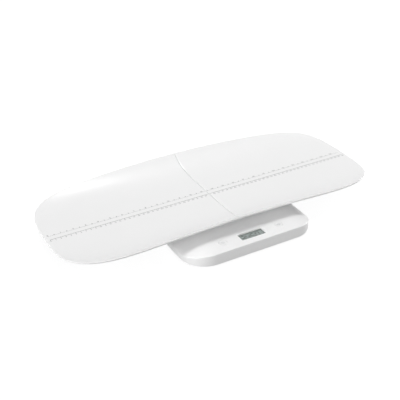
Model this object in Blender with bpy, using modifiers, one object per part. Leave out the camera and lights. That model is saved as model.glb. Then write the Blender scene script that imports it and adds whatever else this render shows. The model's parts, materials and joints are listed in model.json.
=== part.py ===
"""Digital baby weighing scale: a long curved tray in two halves on a flat electronic base.

Metres, +Z up.  The object stands on z = 0 with the middle of its footprint at the origin.
X runs along the tray, and the display faces the reader at -Y.
"""

import math

import bmesh
import bpy
import numpy as np
from mathutils import Matrix, Vector

MM = 0.001

# Fits and walls that several pieces share
GAP = 0.3 * MM
OVERRUN = 1.0 * MM
SMALL_STEPS = 10
ROUND_STEPS = 16
FINE_STEPS = 20

# Base housing
BASE_WIDTH = 281.0 * MM
BASE_DEPTH = 315.0 * MM
BASE_HEIGHT = 23.3 * MM
BASE_CORNER = 52.0 * MM
BASE_CORNER_STEPS = 8
GROUND_CLEARANCE = 5.0 * MM
COVER_ROOF = 3.0 * MM
COVER_WALL = 2.4 * MM
COVER_EDGE = 1.5 * MM
ROLL_REACH = 60.0 * MM
ROLL_DROP = 15.0 * MM
ROLL_STEPS = 9
FLOOR_THICKNESS = 2.5 * MM
RIB_THICKNESS = 1.6 * MM
ROOF_RIB_DEPTH = 3.2 * MM
FLOOR_RIB_HEIGHT = 2.6 * MM
FLOOR_RIB_REACH_SHARE = 0.9
FLOOR_RIB_SHARES = (0.26, 0.40, 0.54)
LONG_RIB_SHARES = (-0.62, -0.24, 0.24, 0.62)
CROSS_RIB_SHARES = (0.22, 0.42, 0.62, 0.84)

# Tray
TRAY_LENGTH = 698.0 * MM
TRAY_WIDTH = 288.0 * MM
TRAY_WALL = 3.2 * MM
TRAY_ABOVE_BASE = 4.5 * MM
TRAY_SETBACK = 193.5 * MM
TRAY_END_POWER = 6.0
TRAY_SIDE_POWER = 3.4
TRAY_END_RISE = 0.95 * MM
TRAY_MIDDLE_RISE = 23.8 * MM
TRAY_CORNER_RISE = 10.0 * MM
TRAY_RISE_POWER = 5.5
TRAY_BELL_POWER = 1.5
TRAY_BELL_SHARE = 0.86
TRAY_END_MARGIN = 17.0 * MM
TRAY_EDGE_ROUND = 1.1 * MM
TRAY_EDGE_STEPS = 2
TRAY_UNDERCUT = 1.2 * MM
TRAY_STEEPEST = 1.25
TRAY_COLUMNS = 16
TRAY_ROWS = 16
OUTLINE_STEPS = 8
CROWDING_SHARE = 0.25
REST_RIB_WIDTH = 2.6 * MM
REST_FRAME_LENGTH = 80.0 * MM
REST_FRAME_WIDTH = 176.0 * MM
REST_RIB_BITE_SHARE = 0.75
PEG_RADIUS = 5.5 * MM
PEG_DEPTH = 8.5 * MM
PEG_TIP_ROUND = 1.2 * MM
PEG_REACH = 66.0 * MM
PEG_SPACING = 120.0 * MM
SOCKET_WALL = 1.8 * MM

# Display
DISPLAY_LENGTH = 53.2 * MM
DISPLAY_WIDTH = 20.4 * MM
DISPLAY_SETBACK = 25.4 * MM
WINDOW_SINK = 0.2 * MM
WINDOW_FLANGE = 1.0 * MM
WINDOW_LIP = 2.6 * MM
PANEL_THICKNESS = 2.0 * MM
PANEL_BORDER = 2.2 * MM
STRIP_HEIGHT = 2.9 * MM
STRIP_WIDTH = 2.4 * MM
FRAME_WALL = 2.0 * MM
LEDGE_WIDTH = 2.0 * MM

# Circuit board and what stands on it
BOARD_END_CLEARANCE = 3.0 * MM
BOARD_WIDTH = 32.0 * MM
BOARD_THICKNESS = 1.6 * MM
BOARD_STAKE_INSET = 4.5 * MM
BOARD_POST_RADIUS = 3.2 * MM
CHIP_RADIUS = 6.0 * MM
CHIP_HEIGHT = 1.4 * MM
CHIP_PLACE_SHARE = 0.22
CHIP_DOME_SHARES = ((1.0, 0.0), (0.86, 0.6), (0.5, 0.93), (0.0, 1.0))
BEEPER_RADIUS = 6.5 * MM
BEEPER_HEIGHT = 3.6 * MM
BEEPER_HOLE = 1.2 * MM
BEEPER_PLACE_SHARE = -0.22
PLUG_LENGTH = 12.0 * MM
PLUG_WIDTH = 6.0 * MM
PLUG_HEIGHT = 4.6 * MM
PLUG_PLACE_SHARE = 0.78

# Keys on the panel, and their switches
KEY_PLACE_SHARE = 0.648
KEY_SETBACK = 27.3 * MM
KEY_RADIUS = 8.0 * MM
KEY_PROUD = 0.2 * MM
KEY_DISH = 0.35 * MM
KEY_DISH_SHARES = ((0.0, 1.0), (0.5, 0.75), (0.85, 0.0))
KEY_EDGE = 0.3 * MM
KEY_FLANGE = 1.6 * MM
KEY_FLANGE_THICKNESS = 1.2 * MM
KEY_STEM_RADIUS = 2.5 * MM
KEY_TRAVEL = 0.5 * MM
SWITCH_SIDE = 6.0 * MM
SWITCH_HEIGHT = 3.9 * MM
SWITCH_BUTTON_RADIUS = 1.7 * MM
SWITCH_BUTTON_RISE = 0.7 * MM
SWITCH_BUTTON_LENGTH = 2.0 * MM

# Unit button on the underside
UNIT_PLACE_SHARE = 0.67
UNIT_FROM_BACK = 107.0 * MM
UNIT_RADIUS = 4.2 * MM
UNIT_SINK = 0.4 * MM
UNIT_FLANGE = 1.4 * MM
UNIT_FLANGE_THICKNESS = 1.0 * MM
UNIT_STEM_RADIUS = 2.0 * MM
UNIT_STEM_LENGTH = 2.0 * MM
UNIT_BOARD_LENGTH = 28.0 * MM
UNIT_BOARD_WIDTH = 14.0 * MM
UNIT_POST_RADIUS = 2.8 * MM

# Feet and load cells
FOOT_INSET = 38.0 * MM
FOOT_RADIUS = 17.0 * MM
FOOT_DISC = 4.2 * MM
FOOT_EDGE = 1.2 * MM
FOOT_HUB_RADIUS = 6.0 * MM
FOOT_HUB_HEIGHT = 2.5 * MM
PAD_RADIUS = 14.5 * MM
PAD_THICKNESS = 2.5 * MM
PAD_GROOVE = 0.6 * MM
COLLAR_WALL = 2.0 * MM
COLLAR_HEIGHT = 1.7 * MM
CELL_SIDE = 38.0 * MM
CELL_THICKNESS = 2.5 * MM
CELL_RIM = 5.0 * MM
CELL_SLOT = 2.4 * MM
CELL_NECK = 7.0 * MM
CELL_WELL_WALL = 4.0 * MM
STUD_RADIUS = 1.7 * MM
STUD_HEAD_RADIUS = 3.4 * MM
GAUGE_LENGTH = 9.0 * MM
GAUGE_WIDTH = 4.6 * MM
GAUGE_HEIGHT = 2.6 * MM

# Batteries, their bay and its door
BATTERY_RADIUS = 5.25 * MM
BATTERY_LENGTH = 44.5 * MM
BATTERY_NUB_RADIUS = 1.9 * MM
BATTERY_NUB = 0.9 * MM
BATTERY_COUNT = 3
BATTERY_PITCH = 10.9 * MM
BAY_FROM_BACK = 70.0 * MM
BAY_WALL = 1.6 * MM
BAY_LEDGE = 3.4 * MM
BAY_FRAME = 2.4 * MM
BAY_FRAME_HEIGHT = 2.0 * MM
CONTACT_THICKNESS = 0.5 * MM
CONTACT_WIDTH = 8.4 * MM
SPRING_LENGTH = 3.4 * MM
SPRING_RADIUS = 3.4 * MM
SPRING_WIRE = 0.35 * MM
SPRING_TURNS = 2.5
SPRING_TURN_POINTS = 9
SPRING_TIP_SHARE = 0.62
DOOR_THICKNESS = 2.2 * MM
DOOR_PIN_RADIUS = 0.7 * MM
DOOR_PIN_LENGTH = 1.2 * MM
DOOR_SLOT = 1.2 * MM
DOOR_TONGUE = 12.0 * MM
DOOR_TONGUE_DEPTH = 7.0 * MM
DOOR_EDGE = 0.4 * MM

# Screws and cables
BOSS_RADIUS = 3.6 * MM
SCREW_RADIUS = 1.4 * MM
SCREW_HEAD_RADIUS = 2.8 * MM
SCREW_HEAD = 1.6 * MM
SCREW_LENGTH = 10.0 * MM
SCREW_SLOT = 0.8 * MM
SCREW_CROSS = 1.8 * MM
SCREW_PAD = 2.0 * MM
FRONT_SCREW_SHARE = 0.4
STAKE_RADIUS = 1.2 * MM
STAKE_HEAD_RADIUS = 2.4 * MM
STAKE_HEAD = 1.0 * MM
CABLE_RADIUS = 1.1 * MM
LEAD_RADIUS = 0.7 * MM
LEAD_SPACING = 3.0 * MM
CABLE_BEND = 9.0 * MM
CABLE_STRAIGHT = 3.0 * MM
BEND_POINTS = 5

# Levels and lines that the pieces are set on
BASE_BOTTOM = GROUND_CLEARANCE
BASE_TOP = BASE_BOTTOM + BASE_HEIGHT
BASE_HALF = BASE_WIDTH / 2
BASE_FRONT = -(TRAY_SETBACK + TRAY_WIDTH / 2) / 2
BASE_BACK = BASE_FRONT + BASE_DEPTH
TRAY_MIDDLE_Y = BASE_FRONT + TRAY_SETBACK
ROOF_UNDER = BASE_TOP - COVER_ROOF
FLOOR_TOP = BASE_BOTTOM + FLOOR_THICKNESS
WINDOW_FLANGE_TOP = ROOF_UNDER - GAP
PANEL_TOP = WINDOW_FLANGE_TOP - WINDOW_FLANGE - GAP
PANEL_BOTTOM = PANEL_TOP - PANEL_THICKNESS
BOARD_TOP = PANEL_BOTTOM - STRIP_HEIGHT - 2 * GAP
BOARD_BOTTOM = BOARD_TOP - BOARD_THICKNESS
DISPLAY_Y = BASE_FRONT + DISPLAY_SETBACK
KEY_Y = BASE_FRONT + KEY_SETBACK
BOARD_Y = DISPLAY_Y
CELL_INNER_X = BASE_HALF - FOOT_INSET - CELL_SIDE / 2
CABLE_LANE_X = CELL_INNER_X - 3 * CABLE_RADIUS
BOARD_LENGTH = 2 * (CELL_INNER_X - BOARD_END_CLEARANCE)
FRAME_HALF = DISPLAY_LENGTH / 2 + PANEL_BORDER + GAP + FRAME_WALL
BACK_STAKE_X = FRAME_HALF + BOARD_POST_RADIUS + 3 * GAP
KEY_REACH = KEY_RADIUS + KEY_FLANGE
KEY_X = (FRAME_HALF + KEY_REACH
         + KEY_PLACE_SHARE * (CELL_INNER_X - FRAME_HALF - 2 * KEY_REACH))
PAD_TOP = PAD_THICKNESS
DISC_BOTTOM = PAD_TOP + GAP
DISC_TOP = DISC_BOTTOM + FOOT_DISC
HUB_TOP = DISC_TOP + FOOT_HUB_HEIGHT
CELL_BOTTOM = HUB_TOP + GAP
CELL_TOP = CELL_BOTTOM + CELL_THICKNESS
WELL_BOTTOM = CELL_TOP + GAP
DOOR_TOP = BASE_BOTTOM + DOOR_THICKNESS
BATTERY_Z = DOOR_TOP + GAP + BATTERY_RADIUS
BAY_Y = BASE_BACK - BAY_FROM_BACK
BAY_HALF_LENGTH = (BATTERY_LENGTH + SPRING_LENGTH + 2 * CONTACT_THICKNESS + 5 * GAP) / 2
BAY_HALF_WIDTH = (BATTERY_PITCH * (BATTERY_COUNT - 1)) / 2 + BATTERY_RADIUS + GAP
BAY_CEILING = BATTERY_Z + BATTERY_RADIUS + GAP
UNIT_X = UNIT_PLACE_SHARE * CABLE_LANE_X
UNIT_Y = BASE_BACK - UNIT_FROM_BACK
SOCKET_RADIUS = PEG_RADIUS + 0.5 * GAP + GAP
SOCKET_FLOOR = BASE_TOP - PEG_DEPTH - 2 * GAP

SIDES = (("left", -1), ("right", 1))
ENDS = (("front", -1), ("back", 1))

parts = bpy.data.collections.new("baby_weighing_scale")
guides = bpy.data.collections.new("cutters")
joints_and_cuts = []


def clear_scene():
    """Remove every object, and link the two collections."""
    for thing in list(bpy.data.objects):
        bpy.data.objects.remove(thing, do_unlink=True)
    bpy.context.scene.collection.children.link(parts)
    bpy.context.scene.collection.children.link(guides)


def material(name, colour, roughness, metallic=0.0, alpha=1.0):
    """Make a Principled material from a linear colour."""
    made = bpy.data.materials.new(name)
    made.use_nodes = True
    shader = made.node_tree.nodes["Principled BSDF"]
    shader.inputs["Base Color"].default_value = (*colour, 1.0)
    shader.inputs["Roughness"].default_value = roughness
    shader.inputs["Metallic"].default_value = metallic
    shader.inputs["Alpha"].default_value = alpha
    made.diffuse_color = (*colour, alpha)
    return made


def from_bmesh(name, bm):
    """Turn a bmesh into a guide object."""
    mesh = bpy.data.meshes.new(name)
    bm.to_mesh(mesh)
    bm.free()
    made = bpy.data.objects.new(name, mesh)
    guides.objects.link(made)
    return made


def baked(thing):
    """Replace an object by a plain mesh of its evaluated shape, in world space."""
    bpy.context.view_layer.update()
    evaluated = thing.evaluated_get(bpy.context.evaluated_depsgraph_get())
    mesh = bpy.data.meshes.new_from_object(evaluated)
    mesh.transform(thing.matrix_world)
    name = thing.name
    bpy.data.objects.remove(thing, do_unlink=True)
    bm = bmesh.new()
    bm.from_mesh(mesh)
    bmesh.ops.remove_doubles(bm, verts=bm.verts, dist=GAP / 30)
    bpy.data.meshes.remove(mesh)
    return from_bmesh(name, bm)


def box(name, low, high):
    """A block between two corners."""
    bm = bmesh.new()
    bmesh.ops.create_cube(bm, size=1.0)
    size = Vector(high) - Vector(low)
    middle = (Vector(high) + Vector(low)) / 2
    bmesh.ops.transform(bm, matrix=Matrix.Translation(middle) @ Matrix.Diagonal((*size, 1.0)),
                        verts=bm.verts)
    return from_bmesh(name, bm)


def rounded_block(name, low, high, radius, steps, top_edge=0.0, bottom_edge=0.0):
    """A block with its upright edges rounded, and its top and bottom edges too if asked."""
    made = box(name, low, high)
    bm = bmesh.new()
    bm.from_mesh(made.data)
    upright = [e for e in bm.edges if abs(e.verts[0].co.z - e.verts[1].co.z) > radius / 100]
    bmesh.ops.bevel(bm, geom=upright, offset=radius, offset_type="OFFSET", segments=steps,
                    profile=0.5, affect="EDGES")
    for level, edge in ((high[2], top_edge), (low[2], bottom_edge)):
        if edge > 0:
            ring = [e for e in bm.edges
                    if all(abs(v.co.z - level) < GAP / 30 for v in e.verts)]
            bmesh.ops.bevel(bm, geom=ring, offset=edge, offset_type="OFFSET", segments=3,
                            profile=0.5, affect="EDGES")
    bm.to_mesh(made.data)
    bm.free()
    return made


def disc(name, centre, radius, low, high, steps=ROUND_STEPS, axis="Z"):
    """A cylinder round a centre line through `centre`, from `low` to `high` along its axis."""
    bm = bmesh.new()
    bmesh.ops.create_cone(bm, cap_ends=True, segments=steps, radius1=radius, radius2=radius,
                          depth=high - low)
    turn = {"Z": Matrix.Identity(4), "X": Matrix.Rotation(math.pi / 2, 4, "Y")}[axis]
    place = Vector((*centre[:2], (low + high) / 2)) if axis == "Z" else Vector(
        ((low + high) / 2, *centre[1:]))
    bmesh.ops.transform(bm, matrix=Matrix.Translation(place) @ turn, verts=bm.verts)
    return from_bmesh(name, bm)


def turned(name, centre, profile, steps=ROUND_STEPS):
    """A turned piece: `profile` lists (radius, height) from the top of the axis to its bottom."""
    mesh = bpy.data.meshes.new(name)
    mesh.from_pydata([(r, 0.0, z) for r, z in profile],
                     [(i, i + 1) for i in range(len(profile) - 1)], [])
    made = bpy.data.objects.new(name, mesh)
    guides.objects.link(made)
    made.location = (*centre[:2], 0.0)
    screw = made.modifiers.new("turn", "SCREW")
    screw.axis = "Z"
    screw.steps = steps
    screw.render_steps = steps
    screw.use_merge_vertices = True
    screw.merge_threshold = GAP / 30
    return baked(made)


def tube(name, points, radius, sides=1):
    """A round wire along `points`."""
    curve = bpy.data.curves.new(name, "CURVE")
    curve.dimensions = "3D"
    curve.bevel_depth = radius
    curve.bevel_resolution = sides
    curve.use_fill_caps = True
    spline = curve.splines.new("POLY")
    spline.points.add(len(points) - 1)
    for knot, place in zip(spline.points, points):
        knot.co = (*place, 1.0)
    made = bpy.data.objects.new(name, curve)
    guides.objects.link(made)
    return baked(made)


def bent_path(corners, bend):
    """Points along straight runs between `corners`, each inner corner rounded by `bend`."""
    knots = [Vector(corner) for corner in corners]
    points = [knots[0]]
    for before, corner, after in zip(knots, knots[1:], knots[2:]):
        back, onward = before - corner, after - corner
        start = corner + back.normalized() * min(bend, back.length / 2)
        end = corner + onward.normalized() * min(bend, onward.length / 2)
        for i in range(BEND_POINTS):
            t = i / (BEND_POINTS - 1)
            points.append((1 - t) ** 2 * start + 2 * t * (1 - t) * corner + t ** 2 * end)
    points.append(knots[-1])
    return points


def operands(name, things):
    """A hidden collection of the solids that one Boolean adds or cuts."""
    group = bpy.data.collections.new(name)
    guides.children.link(group)
    for thing in things:
        guides.objects.unlink(thing)
        group.objects.link(thing)
        thing.hide_render = True
        thing.display_type = "WIRE"
    return group


def piece(name, body, finish, add=(), cut=(), origin=(0.0, 0.0, 0.0)):
    """Finish a named piece, note what is united with it and cut from it, set its origin."""
    body.name = name
    body.data.name = name
    guides.objects.unlink(body)
    parts.objects.link(body)
    body.data.transform(Matrix.Translation(-Vector(origin)))
    body.location = origin
    body.data.materials.clear()
    body.data.materials.append(finish)
    body.data.shade_smooth()
    body.data.set_sharp_from_angle(angle=math.radians(35))
    joints_and_cuts.append((body, "add", "UNION", list(add)))
    joints_and_cuts.append((body, "cut", "DIFFERENCE", list(cut)))
    return body


def attach_booleans():
    """Give the pieces their Booleans, last, so that no shape is worked out twice."""
    for body, label, operation, things in joints_and_cuts:
        if things:
            step = body.modifiers.new(label, "BOOLEAN")
            step.operation = operation
            step.solver = "EXACT"
            step.operand_type = "COLLECTION"
            step.collection = operands(f"{body.name}_{label}", things)


def side_rise(x):
    """How far the tray's long edge stands above its middle, `x` along the tray."""
    bell = np.clip(1 - (x / (TRAY_BELL_SHARE * TRAY_LENGTH / 2)) ** 2, 0, None)
    return TRAY_CORNER_RISE + (TRAY_MIDDLE_RISE - TRAY_CORNER_RISE) * bell ** TRAY_BELL_POWER


def tray_surface(x, y):
    """Height of the tray's upper face over its lowest line, from a place on its plan."""
    reach = TRAY_LENGTH / 2 + TRAY_END_MARGIN
    half = TRAY_WIDTH / 2 * (1 - np.abs(x / reach) ** TRAY_END_POWER) ** (1 / TRAY_SIDE_POWER)
    ends = TRAY_END_RISE * (2 * x / TRAY_LENGTH) ** 2
    return ends + side_rise(x) * (np.abs(y) / half) ** TRAY_RISE_POWER


def outline_share(s, t):
    """How far out from the middle to the unit square the tray's outline lies, towards (s, t)."""
    square = np.maximum(s, t)
    s, t = (np.where(square > 0, v / np.maximum(square, np.finfo(float).tiny), 1.0)
            for v in (s, t))
    share = np.ones_like(s)
    for _ in range(OUTLINE_STEPS):
        along = (share * s) ** TRAY_END_POWER
        across = (share * t) ** TRAY_SIDE_POWER
        slope = (TRAY_END_POWER * along + TRAY_SIDE_POWER * across) / share
        share = share - (along + across - 1) / slope
    return share


def tray_half_shell(name, side):
    """One half of the curved tray: a grid drawn out to the outline and given its wall."""
    bm = bmesh.new()
    bmesh.ops.create_grid(bm, x_segments=TRAY_COLUMNS, y_segments=TRAY_ROWS, size=1.0)
    top = list(bm.verts)
    raised = bmesh.ops.extrude_face_region(bm, geom=bm.faces[:], use_keep_orig=True)
    under = [v for v in raised["geom"] if isinstance(v, bmesh.types.BMVert)]
    for verts, is_under in ((top, False), (under, True)):
        flat = np.array([v.co[:2] for v in verts])
        s = (flat[:, 0] + 1) / 2
        s = (1 + CROWDING_SHARE) * s - CROWDING_SHARE * s ** 3
        t = (1 + CROWDING_SHARE) * flat[:, 1] - CROWDING_SHARE * flat[:, 1] ** 3
        pull = outline_share(s, np.abs(t))
        undercut = TRAY_UNDERCUT if is_under else 0.0
        x = GAP / 2 + (TRAY_LENGTH / 2 - GAP / 2 - undercut) * s * pull
        y = (TRAY_WIDTH / 2 - undercut) * t * pull
        step = GAP
        slope_x = (tray_surface(x + step, y) - tray_surface(x - step, y)) / (2 * step)
        slope_y = (tray_surface(x, y + step) - tray_surface(x, y - step)) / (2 * step)
        steepness = np.sqrt(1 + slope_x ** 2 + slope_y ** 2)
        z = BASE_TOP + TRAY_ABOVE_BASE + tray_surface(x, y)
        z -= TRAY_WALL * np.minimum(steepness, TRAY_STEEPEST) if is_under else 0.0
        for vert, place in zip(verts, np.stack([side * x, y + TRAY_MIDDLE_Y, z], axis=1)):
            vert.co = place
    bmesh.ops.recalc_face_normals(bm, faces=bm.faces)
    made = from_bmesh(name, bm)
    edge = made.modifiers.new("edge", "BEVEL")
    edge.width = TRAY_EDGE_ROUND
    edge.segments = TRAY_EDGE_STEPS
    edge.limit_method = "ANGLE"
    edge.angle_limit = math.radians(45)
    return baked(made)


def tray_half(side_name, side, finish):
    """One half of the tray with the rest frame and the two pegs that set it on the base."""
    shell = tray_half_shell(f"{side_name}_shell", side)
    low = BASE_TOP + GAP
    high = BASE_TOP + TRAY_ABOVE_BASE - TRAY_WALL * (1 - REST_RIB_BITE_SHARE)
    near, far = GAP / 2, REST_FRAME_LENGTH
    half = REST_FRAME_WIDTH / 2

    def rail(tag, x0, x1, y0, y1):
        xs = sorted((side * x0, side * x1))
        return box(tag, (xs[0], TRAY_MIDDLE_Y + y0, low), (xs[1], TRAY_MIDDLE_Y + y1, high))

    rails = [
        rail("seam_rail", near, near + REST_RIB_WIDTH, -half, half),
        rail("end_rail", far - REST_RIB_WIDTH, far, -half, half),
        rail("front_rail", near + GAP, far - GAP, -half, -half + REST_RIB_WIDTH),
        rail("back_rail", near + GAP, far - GAP, half - REST_RIB_WIDTH, half),
        rail("middle_rail", near + GAP, far - GAP, -REST_RIB_WIDTH / 2, REST_RIB_WIDTH / 2),
    ]
    pegs = []
    for end_name, end in ENDS:
        place = (side * PEG_REACH, TRAY_MIDDLE_Y + end * PEG_SPACING / 2)
        tip = BASE_TOP - PEG_DEPTH
        profile = [(0.0, high), (PEG_RADIUS, high), (PEG_RADIUS, tip + PEG_TIP_ROUND),
                   (PEG_RADIUS - PEG_TIP_ROUND, tip), (0.0, tip)]
        pegs.append(turned(f"{end_name}_peg", place, profile))
    rest = BASE_TOP + TRAY_ABOVE_BASE
    return piece(f"tray_{side_name}", shell, finish, add=rails + pegs,
                 origin=(side * TRAY_LENGTH / 4, TRAY_MIDDLE_Y, rest))


def foot_places():
    """Name and centre of each foot."""
    for end_name, end in ENDS:
        y = BASE_FRONT + FOOT_INSET if end < 0 else BASE_BACK - FOOT_INSET
        for side_name, side in SIDES:
            yield f"{end_name}_{side_name}", side * (BASE_HALF - FOOT_INSET), y


def screw_places():
    """Name and place of each screw that holds the floor to the cover."""
    side_x = BASE_HALF - COVER_WALL - 2 * BOSS_RADIUS
    back_y = BASE_BACK - COVER_WALL - 2 * BOSS_RADIUS
    front_y = DISPLAY_Y + BOARD_WIDTH / 2 + 3 * BOSS_RADIUS
    rows = (("front", FRONT_SCREW_SHARE * BASE_HALF, front_y),
            ("middle", side_x, (BASE_FRONT + BASE_BACK) / 2),
            ("back", BAY_HALF_LENGTH + 2 * BAY_LEDGE, back_y))
    for row, x, y in rows:
        for side_name, side in SIDES:
            yield f"{row}_{side_name}", side * x, y


def stake_places():
    """The four places where the circuit board hangs from the cover."""
    y = BOARD_WIDTH / 2 - BOARD_STAKE_INSET
    rows = ((BOARD_LENGTH / 2 - BOARD_STAKE_INSET, BOARD_Y - y), (BACK_STAKE_X, BOARD_Y + y))
    return [(side * x, row_y) for _, side in SIDES for x, row_y in rows]


def unit_post_places():
    """The two posts that carry the small board over the unit button."""
    reach = UNIT_BOARD_LENGTH / 2 - UNIT_POST_RADIUS
    return [(UNIT_X + side * reach, UNIT_Y) for _, side in SIDES]


def roll_drop(x):
    """How far the cover's top has rolled down at `x`: a quarter ellipse towards each side."""
    share = min(max((abs(x) - BASE_HALF + ROLL_REACH) / ROLL_REACH, 0.0), 1.0)
    return ROLL_DROP * (1 - math.sqrt(1 - share ** 2))


def over_roll(name, side, top):
    """The room over one rolled side of a roof whose flat middle lies at `top`."""
    low = [(BASE_HALF - ROLL_REACH * (1 - math.sin(math.pi / 2 * i / ROLL_STEPS)))
           for i in range(ROLL_STEPS + 1)]
    line = [(side * x, top - roll_drop(x)) for x in low]
    outside = side * (BASE_HALF + OVERRUN)
    line += [(outside, top - ROLL_DROP), (outside, BASE_TOP + 2 * OVERRUN),
             (side * low[0], BASE_TOP + 2 * OVERRUN)]
    bm = bmesh.new()
    ends = [[bm.verts.new((x, y, z)) for x, z in line]
            for y in (BASE_FRONT - OVERRUN, BASE_BACK + OVERRUN)]
    for end in ends:
        bm.faces.new(end)
    for i, (a, b) in enumerate(zip(*ends)):
        c, d = ends[1][i - 1], ends[0][i - 1]
        bm.faces.new((a, b, c, d))
    bmesh.ops.recalc_face_normals(bm, faces=bm.faces)
    return from_bmesh(name, bm)


def without(thing, tag, cutters):
    """Cut solids from a guide object at once."""
    for i, cutter in enumerate(cutters):
        step = thing.modifiers.new(f"{tag}_{i}", "BOOLEAN")
        step.operation = "DIFFERENCE"
        step.object = cutter
    thing = baked(thing)
    for cutter in cutters:
        bpy.data.objects.remove(cutter, do_unlink=True)
    return thing


def top_cover(finish):
    """The white housing: roof and skirt in one, with its sockets, wells, bosses and ribs."""
    body = rounded_block("cover", (-BASE_HALF, BASE_FRONT, BASE_BOTTOM),
                         (BASE_HALF, BASE_BACK, BASE_TOP), BASE_CORNER, BASE_CORNER_STEPS,
                         top_edge=COVER_EDGE)
    inner = (BASE_HALF - COVER_WALL, BASE_FRONT + COVER_WALL, BASE_BACK - COVER_WALL)
    hollow = rounded_block("hollow", (-inner[0], inner[1], BASE_BOTTOM - OVERRUN),
                           (inner[0], inner[2], ROOF_UNDER), BASE_CORNER - COVER_WALL,
                           BASE_CORNER_STEPS)
    hollow = without(hollow, "under_roll", [over_roll(f"{side_name}_under_roll", side, ROOF_UNDER)
                                            for side_name, side in SIDES])
    shell = without(body, "hollow", [hollow])
    root = ROOF_UNDER + OVERRUN
    add = []
    cut = [over_roll(f"{side_name}_over_roll", side, BASE_TOP) for side_name, side in SIDES]
    boss_low = FLOOR_TOP + SCREW_PAD + GAP
    for name, x, y in screw_places():
        add.append(disc(f"{name}_boss", (x, y), BOSS_RADIUS, boss_low, root,
                        steps=SMALL_STEPS))
        cut.append(disc(f"{name}_pilot", (x, y), SCREW_RADIUS + GAP, boss_low - OVERRUN,
                        boss_low + SCREW_LENGTH - SCREW_HEAD, steps=SMALL_STEPS))
    for i, place in enumerate(stake_places()):
        head = BOARD_BOTTOM - GAP
        profile = [(0.0, root), (BOARD_POST_RADIUS, root),
                   (BOARD_POST_RADIUS, BOARD_TOP + GAP), (STAKE_RADIUS, BOARD_TOP + GAP),
                   (STAKE_RADIUS, head), (STAKE_HEAD_RADIUS, head),
                   (STAKE_RADIUS, head - STAKE_HEAD), (0.0, head - STAKE_HEAD)]
        add.append(turned(f"board_stake_{i}", place, profile, steps=SMALL_STEPS))
    for name, x, y in foot_places():
        outer, inner_half = CELL_SIDE / 2, CELL_SIDE / 2 - CELL_WELL_WALL
        add.append(box(f"{name}_well", (x - outer, y - outer, WELL_BOTTOM),
                       (x + outer, y + outer, root)))
        cut.append(box(f"{name}_well_room", (x - inner_half, y - inner_half,
                                             WELL_BOTTOM - OVERRUN),
                       (x + inner_half, y + inner_half,
                        ROOF_UNDER - roll_drop(abs(x) + inner_half))))
        toward = inward(x)
        reach = sorted((x + toward * (inner_half - OVERRUN), x + toward * (outer + OVERRUN)))
        notch = GAUGE_LENGTH / 2 + GAP
        cut.append(box(f"{name}_cable_notch", (reach[0], y - notch, WELL_BOTTOM - OVERRUN),
                       (reach[1], y + notch, WELL_BOTTOM + GAUGE_HEIGHT + GAP)))
    for side_name, side in SIDES:
        for end_name, end in ENDS:
            place = (side * PEG_REACH, TRAY_MIDDLE_Y + end * PEG_SPACING / 2)
            tag = f"{end_name}_{side_name}_socket"
            add.append(disc(tag, place, SOCKET_RADIUS + SOCKET_WALL,
                            SOCKET_FLOOR - SOCKET_WALL, root))
            cut.append(disc(f"{tag}_bore", place, SOCKET_RADIUS, SOCKET_FLOOR,
                            BASE_TOP + OVERRUN))
        cut.append(disc(f"{side_name}_key_hole", (side * KEY_X, KEY_Y),
                        KEY_RADIUS + GAP, ROOF_UNDER - OVERRUN, BASE_TOP + OVERRUN,
                        steps=FINE_STEPS))
    half = (DISPLAY_LENGTH / 2, DISPLAY_WIDTH / 2)
    cut.append(box("window_hole", (-half[0], DISPLAY_Y - half[1], ROOF_UNDER - OVERRUN),
                   (half[0], DISPLAY_Y + half[1], BASE_TOP + OVERRUN)))
    rib_low = ROOF_UNDER - ROOF_RIB_DEPTH
    rib_front = BOARD_Y + BOARD_WIDTH / 2 + 2 * BOARD_POST_RADIUS
    for i, share in enumerate(LONG_RIB_SHARES):
        x = share * BASE_HALF
        add.append(box(f"long_rib_{i}", (x - RIB_THICKNESS / 2, rib_front, rib_low),
                       (x + RIB_THICKNESS / 2, BASE_BACK - COVER_WALL / 2, root)))
    for i, share in enumerate(CROSS_RIB_SHARES):
        y = BASE_FRONT + share * BASE_DEPTH
        add.append(box(f"cross_rib_{i}",
                       (-BASE_HALF + COVER_WALL / 2, y - RIB_THICKNESS / 2, rib_low),
                       (BASE_HALF - COVER_WALL / 2, y + RIB_THICKNESS / 2, root)))
    return piece("top_cover", shell, finish, add=add, cut=cut)


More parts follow.
